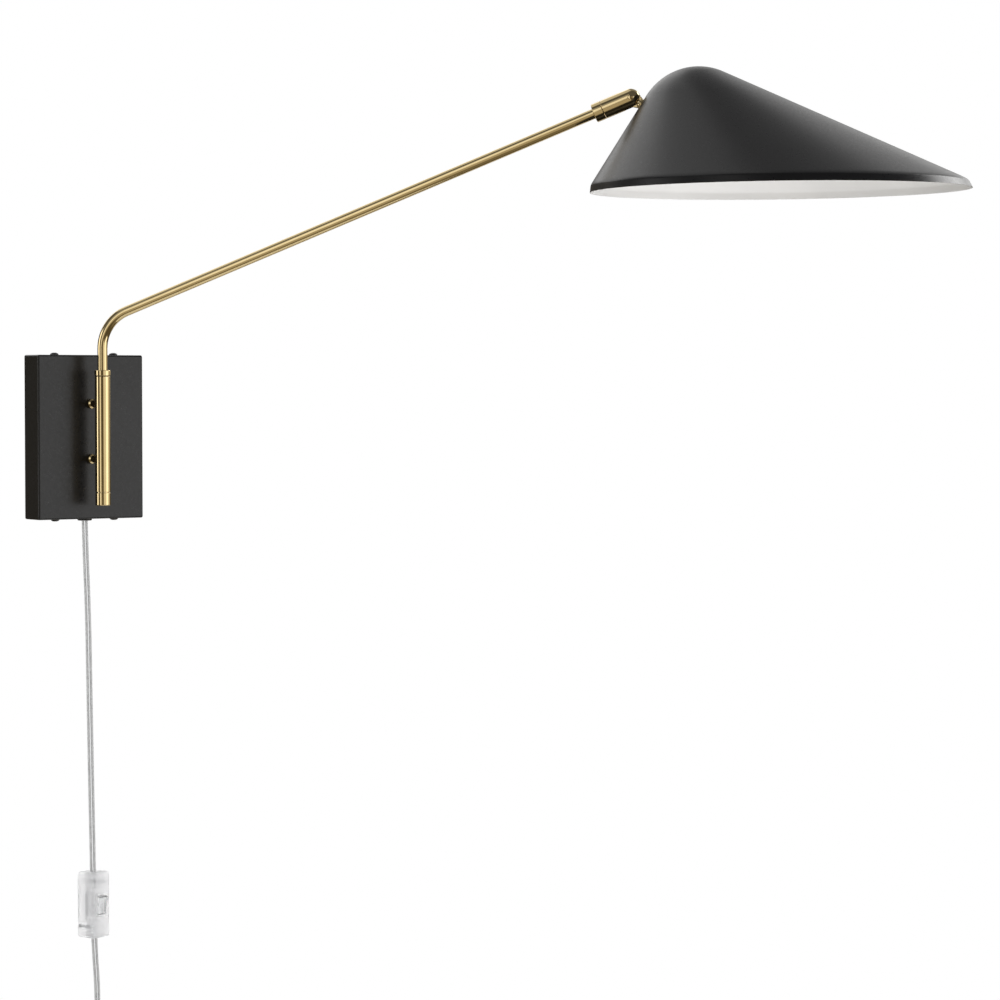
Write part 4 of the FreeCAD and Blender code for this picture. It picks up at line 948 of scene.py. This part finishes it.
CORD_UPPER = [
    (0.0, -15.5, -84.5), (0.8, -15.5, -118), (3.3, -15.4, -175), (4.4, -15.6, -255),
    (5.7, -15.4, -335), (6.7, -15.5, -395), (7.5, -15.5, -441.9),
]
CORD_LOWER = [
    (8.7, -15.5, -508.3), (9.4, -15.5, -526), (11.5, -15.4, -554), (12.0, -15.5, -584.5),
]
HANK_ENTRY = [
    (12.0, -15.0, -598), (12.0, -12.6, -609), (13.0, -10.8, -619), (16.5, -10.6, -630),
    (23.0, -10.6, -641), (29.0, -10.6, -652),
]
HANK_EXIT = [
    (31.5, -4.2, -622), (25.0, -4.2, -633), (17.5, -4.6, -644), (13.0, -6.6, -655),
    (12.0, -10.6, -665), (12.0, -14.6, -674), (12.0, -15.9, -684), (12.0, -15.5, -693),
    (12.0, -15.5, -701),
]
LOOPS = [(18.8, "front"), (22.2, "front"), (25.6, "front"), (25.6, "back"), (22.2, "back")]


def hank_turns():
    """The hank's loops: down the right side, round the bottom, up the left, over the top."""
    points = []
    steps = 6
    step = math.pi / steps
    fit = 1 / (0.75 + 0.25 * math.cos(step))
    for i, (radius, layer) in enumerate(LOOPS):
        following = LOOPS[min(i + 1, len(LOOPS) - 1)]
        low, high = HANK["z"] - HANK["half_run"], HANK["z"] + HANK["half_run"]
        depth = HANK[layer]
        turn = [(radius, depth, high - 9), (radius, depth, HANK["z"])] if i else []
        turn.append((radius, depth, low + 9))
        points += [(HANK["x"] + x, y, z) for x, y, z in turn]
        for k in range(steps):
            angle = -(k + 0.5) * step
            points.append((HANK["x"] + radius * fit * math.cos(angle), depth,
                           low + radius * fit * math.sin(angle)))
        points += [(HANK["x"] - radius, depth, z) for z in (low + 9, HANK["z"], high - 9)]
        for k in range(steps):
            share = (k + 0.5) / steps
            angle = math.pi - (k + 0.5) * step
            out = radius + (following[0] - radius) * share
            y = depth + (HANK[following[1]] - depth) * share
            points.append((HANK["x"] + out * fit * math.cos(angle), y,
                           high + out * fit * math.sin(angle)))
    return points


def spline_points(name, route, smoothness):
    """The route's NURBS spline, and the points that it passes through."""
    curve = bpy.data.curves.new(name, "CURVE")
    curve.dimensions = "3D"
    curve.resolution_u = smoothness
    spline = curve.splines.new("NURBS")
    spline.points.add(len(route) - 1)
    for point, place in zip(spline.points, route):
        point.co = (*(Vector(place) * MM), 1)
    spline.order_u = 3
    spline.use_endpoint_u = True
    thing = bpy.data.objects.new(name, curve)
    bpy.context.scene.collection.objects.link(thing)
    graph = bpy.context.evaluated_depsgraph_get()
    mesh = bpy.data.meshes.new_from_object(thing.evaluated_get(graph))
    points = [vertex.co.copy() for vertex in mesh.vertices]
    bpy.data.objects.remove(thing)
    bpy.data.meshes.remove(mesh)
    return points


def lengths_along(points):
    """The distance travelled at each point."""
    travelled = [0.0]
    for before, after in zip(points, points[1:]):
        travelled.append(travelled[-1] + (after - before).length)
    return travelled


def jacket_section(steps=14):
    """The outline of a flat twin cord: two round lobes with a groove between them."""
    outline = []
    lobe, spacing, groove = CORD["lobe"], CORD["spacing"], math.radians(CORD["groove"])
    for side in (1, -1):
        start = -math.pi + groove if side > 0 else groove
        for i in range(steps + 1):
            angle = start + (2 * math.pi - 2 * groove) * i / steps
            outline.append((side * spacing / 2 + lobe * math.cos(angle), lobe * math.sin(angle)))
    return outline


def merge(name, things):
    """One object from several, with their UVs where they all have them."""
    verts, faces, uvs = [], [], []
    mapped = all(thing.data.uv_layers for thing in things)
    for thing in things:
        mesh, start = thing.data, len(verts)
        verts += [vertex.co.copy() for vertex in mesh.vertices]
        faces += [tuple(start + i for i in face.vertices) for face in mesh.polygons]
        if mapped:
            by_vertex = {loop.vertex_index: mesh.uv_layers[0].data[loop.index].uv.copy()
                         for loop in mesh.loops}
            uvs += [by_vertex.get(i, Vector((0, 0))) for i in range(len(mesh.vertices))]
        bpy.data.objects.remove(thing)
    return link(name, verts, faces, uvs)


def free_cord(name, route, smoothness, wide, nodes):
    """A clear jacket over two stranded conductors; returns them and their path."""
    points = spline_points(name + "_route", route, smoothness)
    directions = wide(points)
    jacket = sweep(name, points, jacket_section(), lambda i: directions[i])
    finish_mesh(jacket, 60)
    piece(jacket, "clear_cord", "wall_mount", *nodes)
    cores = [sweep("core", points, round_section(CORD["core"], side * CORD["core_out"]),
                   lambda i: directions[i]) for side in (-1, 1)]
    pair = finish_mesh(merge(name + "_conductors", cores), 60)
    piece(pair, "zinc_steel", "wall_mount", look="tinned_copper")
    return jacket, pair, points


HANGING_WIDE = Vector((0.894, -0.449, 0))


def cords():
    """The cord above the switch, and the cord from the switch through the hank to the plug."""
    upper, upper_pair, upper_path = free_cord(
        "cord_above_switch", CORD_UPPER, 16, lambda points: [HANGING_WIDE] * len(points),
        ["cord_upper"])
    route = CORD_LOWER[:-1] + [(12.0, -15.5, -581)] + HANK_ENTRY + hank_turns() + HANK_EXIT

    def wide(points):
        """Flat to the front where it hangs, on edge in the hank and flat again at the plug."""
        travelled = lengths_along(points)
        total = travelled[-1]
        directions = []
        for distance in travelled:
            near = min(max((distance / MM - ON_EDGE[0]) / ON_EDGE[1], 0), 1)
            away = min(max(((total - distance) / MM - FLAT_AGAIN[0]) / FLAT_AGAIN[1], 0), 1)
            share = min(near, away)
            share = share * share * (3 - 2 * share)
            directions.append(Vector((1, 0, 0)).slerp(Vector((0.05, 1, 0)), share))
        start = Vector((1, 0, 0))
        for i, distance in enumerate(travelled):
            share = min(distance / MM / OUT_OF_HANG, 1)
            if share < 1:
                directions[i] = HANGING_WIDE.slerp(start, share)
        return directions

    lower, lower_pair, lower_path = free_cord(
        "cord_below_switch", route, 6, wide, ["cord_lower", "cord_hank", "cord_tail"])
    return (upper, upper_pair, upper_path), (lower, lower_pair, lower_path)


# ---------------------------------------------------------------- carried-over CAD nodes


def dress_cad_nodes():
    """Gives every CAD node the procedural material of its slot in the record."""
    for node in frame["nodes"].values():
        for entry in node.material_slots:
            entry.material = MATERIALS[entry.material.name.split(".")[0]]


# ---------------------------------------------------------------- floor, light and camera


FLOOR = {"x": 100, "y": -150, "top": -790, "thickness": 10, "radius": 450}


def floor():
    """A small pale disc below the plug."""
    radius, top = FLOOR["radius"], FLOOR["top"]
    under = top - FLOOR["thickness"]
    disc = lathe("floor", [(0, top), (radius, top), (radius, under), (0, under)],
                 upright(Vector((FLOOR["x"], FLOOR["y"], 0)) * MM), 96)
    disc.data.materials.append(made(
        "floor_paint", (8, 3, 0.45, 0.6), base_color=(0.85, 0.85, 0.84, 1),
        emission_color=(1, 1, 1, 1), emission_strength=0.35))


CAMERA_SIDE = -124.2
AMBIENT = 0.1
# dim parts of the world are warm, but less and less so above the horizon
DIM_TINT, BRIGHT_TINT = (1, 0.82, 0.5), (1, 0.995, 0.985)
WHITER_ABOVE = 3
# soft edges of the boxes: degrees at the sides, share of the height's sine at the ends
SIDE_BLUR, END_BLUR = 7, 0.1
SOFT_BOXES = [
    # degrees round from the camera's side (positive to its right) and half the width,
    # lowest and highest elevation, brightness
    (-82, 10, -8, 14, 1.8),
    (-28, 5, -4, 22, 0.9),
    (-42, 10, 16, 36, 0.3),
    (-14, 9, -38, -6, 0.35),
    (38, 16, -8, 12, 0.7),
    (73, 12, -20, 14, 1.5),
    (104, 12, -8, 12, 0.6),
    (150, 14, 4, 14, 1.3),
    (128, 12, 18, 34, 4.5),
    (172, 16, 16, 40, 0.65),
    (-150, 18, 16, 42, 1.1),
    (-120, 40, 48, 90, 0.5),
    (150, 40, 48, 90, 0.15),
    (20, 60, -80, -48, 0.1),
    (165, 22, -46, -24, 0.6),
]


def soft_box(tree, level, height, middle, half, low, high, brightness):
    """One soft-edged patch of the studio's light."""
    angle = math.radians(middle + CAMERA_SIDE)
    across = add_node(tree, "ShaderNodeVectorMath", {
        0: level, 1: (math.cos(angle), math.sin(angle), 0)}, operation="DOT_PRODUCT")
    outside = math.cos(math.radians(min(half + SIDE_BLUR, 180))) - 0.001
    inside = math.cos(math.radians(half))
    wide = ranged(tree, across.outputs["Value"], 0, 1, (outside, inside),
                  interpolation_type="SMOOTHSTEP")
    bottom, top = (math.sin(math.radians(max(min(value, 90), -90))) for value in (low, high))
    offset = worked_out(tree, "SUBTRACT", height, (bottom + top) / 2)
    inside = (top - bottom) / 2
    tall = ranged(tree, worked_out(tree, "ABSOLUTE", offset), 0, 1, (inside + END_BLUR, inside),
                  interpolation_type="SMOOTHSTEP")
    patch = worked_out(tree, "MULTIPLY", wide, tall)
    return worked_out(tree, "MULTIPLY", patch, brightness)


def studio():
    """White to the camera and through clear plastic; a ring of soft boxes to everything else."""
    world = bpy.data.worlds.new("studio")
    bpy.context.scene.world = world
    world.use_nodes = True
    tree = world.node_tree
    tree.nodes.clear()
    direction = add_node(tree, "ShaderNodeTexCoord").outputs["Generated"]
    parts = add_node(tree, "ShaderNodeSeparateXYZ", {"Vector": direction}).outputs
    flat = add_node(tree, "ShaderNodeCombineXYZ", {"X": parts["X"], "Y": parts["Y"]})
    level = add_node(tree, "ShaderNodeVectorMath", {0: flat.outputs["Vector"]},
                     operation="NORMALIZE")
    total = add_node(tree, "ShaderNodeValue").outputs["Value"]
    total.default_value = AMBIENT
    for box in SOFT_BOXES:
        patch = soft_box(tree, level.outputs["Vector"], parts["Z"], *box)
        total = worked_out(tree, "ADD", total, patch)
    above = worked_out(tree, "MAXIMUM", parts["Z"], 0)
    whiteness = worked_out(tree, "MULTIPLY_ADD", above, WHITER_ABOVE, total)
    lit = add_node(tree, "ShaderNodeBackground", {
        "Color": ramped(tree, whiteness, (DIM_TINT, BRIGHT_TINT), (0, 1)), "Strength": total})
    white = add_node(tree, "ShaderNodeBackground", {"Color": (1, 1, 1, 1), "Strength": 1.0})
    path = add_node(tree, "ShaderNodeLightPath").outputs
    seen = worked_out(tree, "MAXIMUM", path["Is Camera Ray"], path["Is Transmission Ray"])
    either = add_node(tree, "ShaderNodeMixShader", {
        "Fac": seen, 1: lit.outputs["Background"], 2: white.outputs["Background"]})
    add_node(tree, "ShaderNodeOutputWorld", {"Surface": either.outputs["Shader"]})


LINING_LIGHT = {"from": (0.52, -0.62, -0.15), "to": (0.44, -0.5, 0.26), "size": 0.5,
                "energy": 0.65, "color": (0.97, 0.975, 1), "spread": math.radians(70)}


def lining_light():
    """A broad light below the shade that fills its white inside but not the reflections."""
    data = bpy.data.lights.new("lining_light", "AREA")
    data.shape = "DISK"
    for key in ("size", "energy", "color", "spread"):
        setattr(data, key, LINING_LIGHT[key])
    lamp_below = bpy.data.objects.new("lining_light", data)
    lamp_below.location = LINING_LIGHT["from"]
    aim = Vector(LINING_LIGHT["to"]) - lamp_below.location
    lamp_below.rotation_euler = aim.to_track_quat("-Z", "Y").to_euler()
    lamp_below.visible_glossy = False
    lamp_below.visible_transmission = False
    lamp_below.visible_camera = False
    bpy.context.scene.collection.objects.link(lamp_below)


# metres, degrees and millimetres
CAMERA = {"from": (-1.46455, -2.91742, 0.05095), "down": 2.040, "round": -34.204,
          "lens": 114.83, "sensor": 36}


def camera():
    """The photograph's viewpoint."""
    data = bpy.data.cameras.new("camera")
    data.sensor_width = CAMERA["sensor"]
    data.lens = CAMERA["lens"]
    eye = bpy.data.objects.new("camera", data)
    eye.location = CAMERA["from"]
    eye.rotation_euler = (math.radians(90 - CAMERA["down"]), 0, math.radians(CAMERA["round"]))
    bpy.context.scene.collection.objects.link(eye)
    bpy.context.scene.camera = eye


# ---------------------------------------------------------------- build

bpy.context.scene.view_settings.view_transform = "Standard"
camera()
dress_cad_nodes()
above, below = cords()
shade()
lamp()
arm_tube()
cover()
posts()
pivot_parts()
knuckle_parts()
tongue_parts()
inline_switch()
tie()
plug()
floor()
studio()
lining_light()
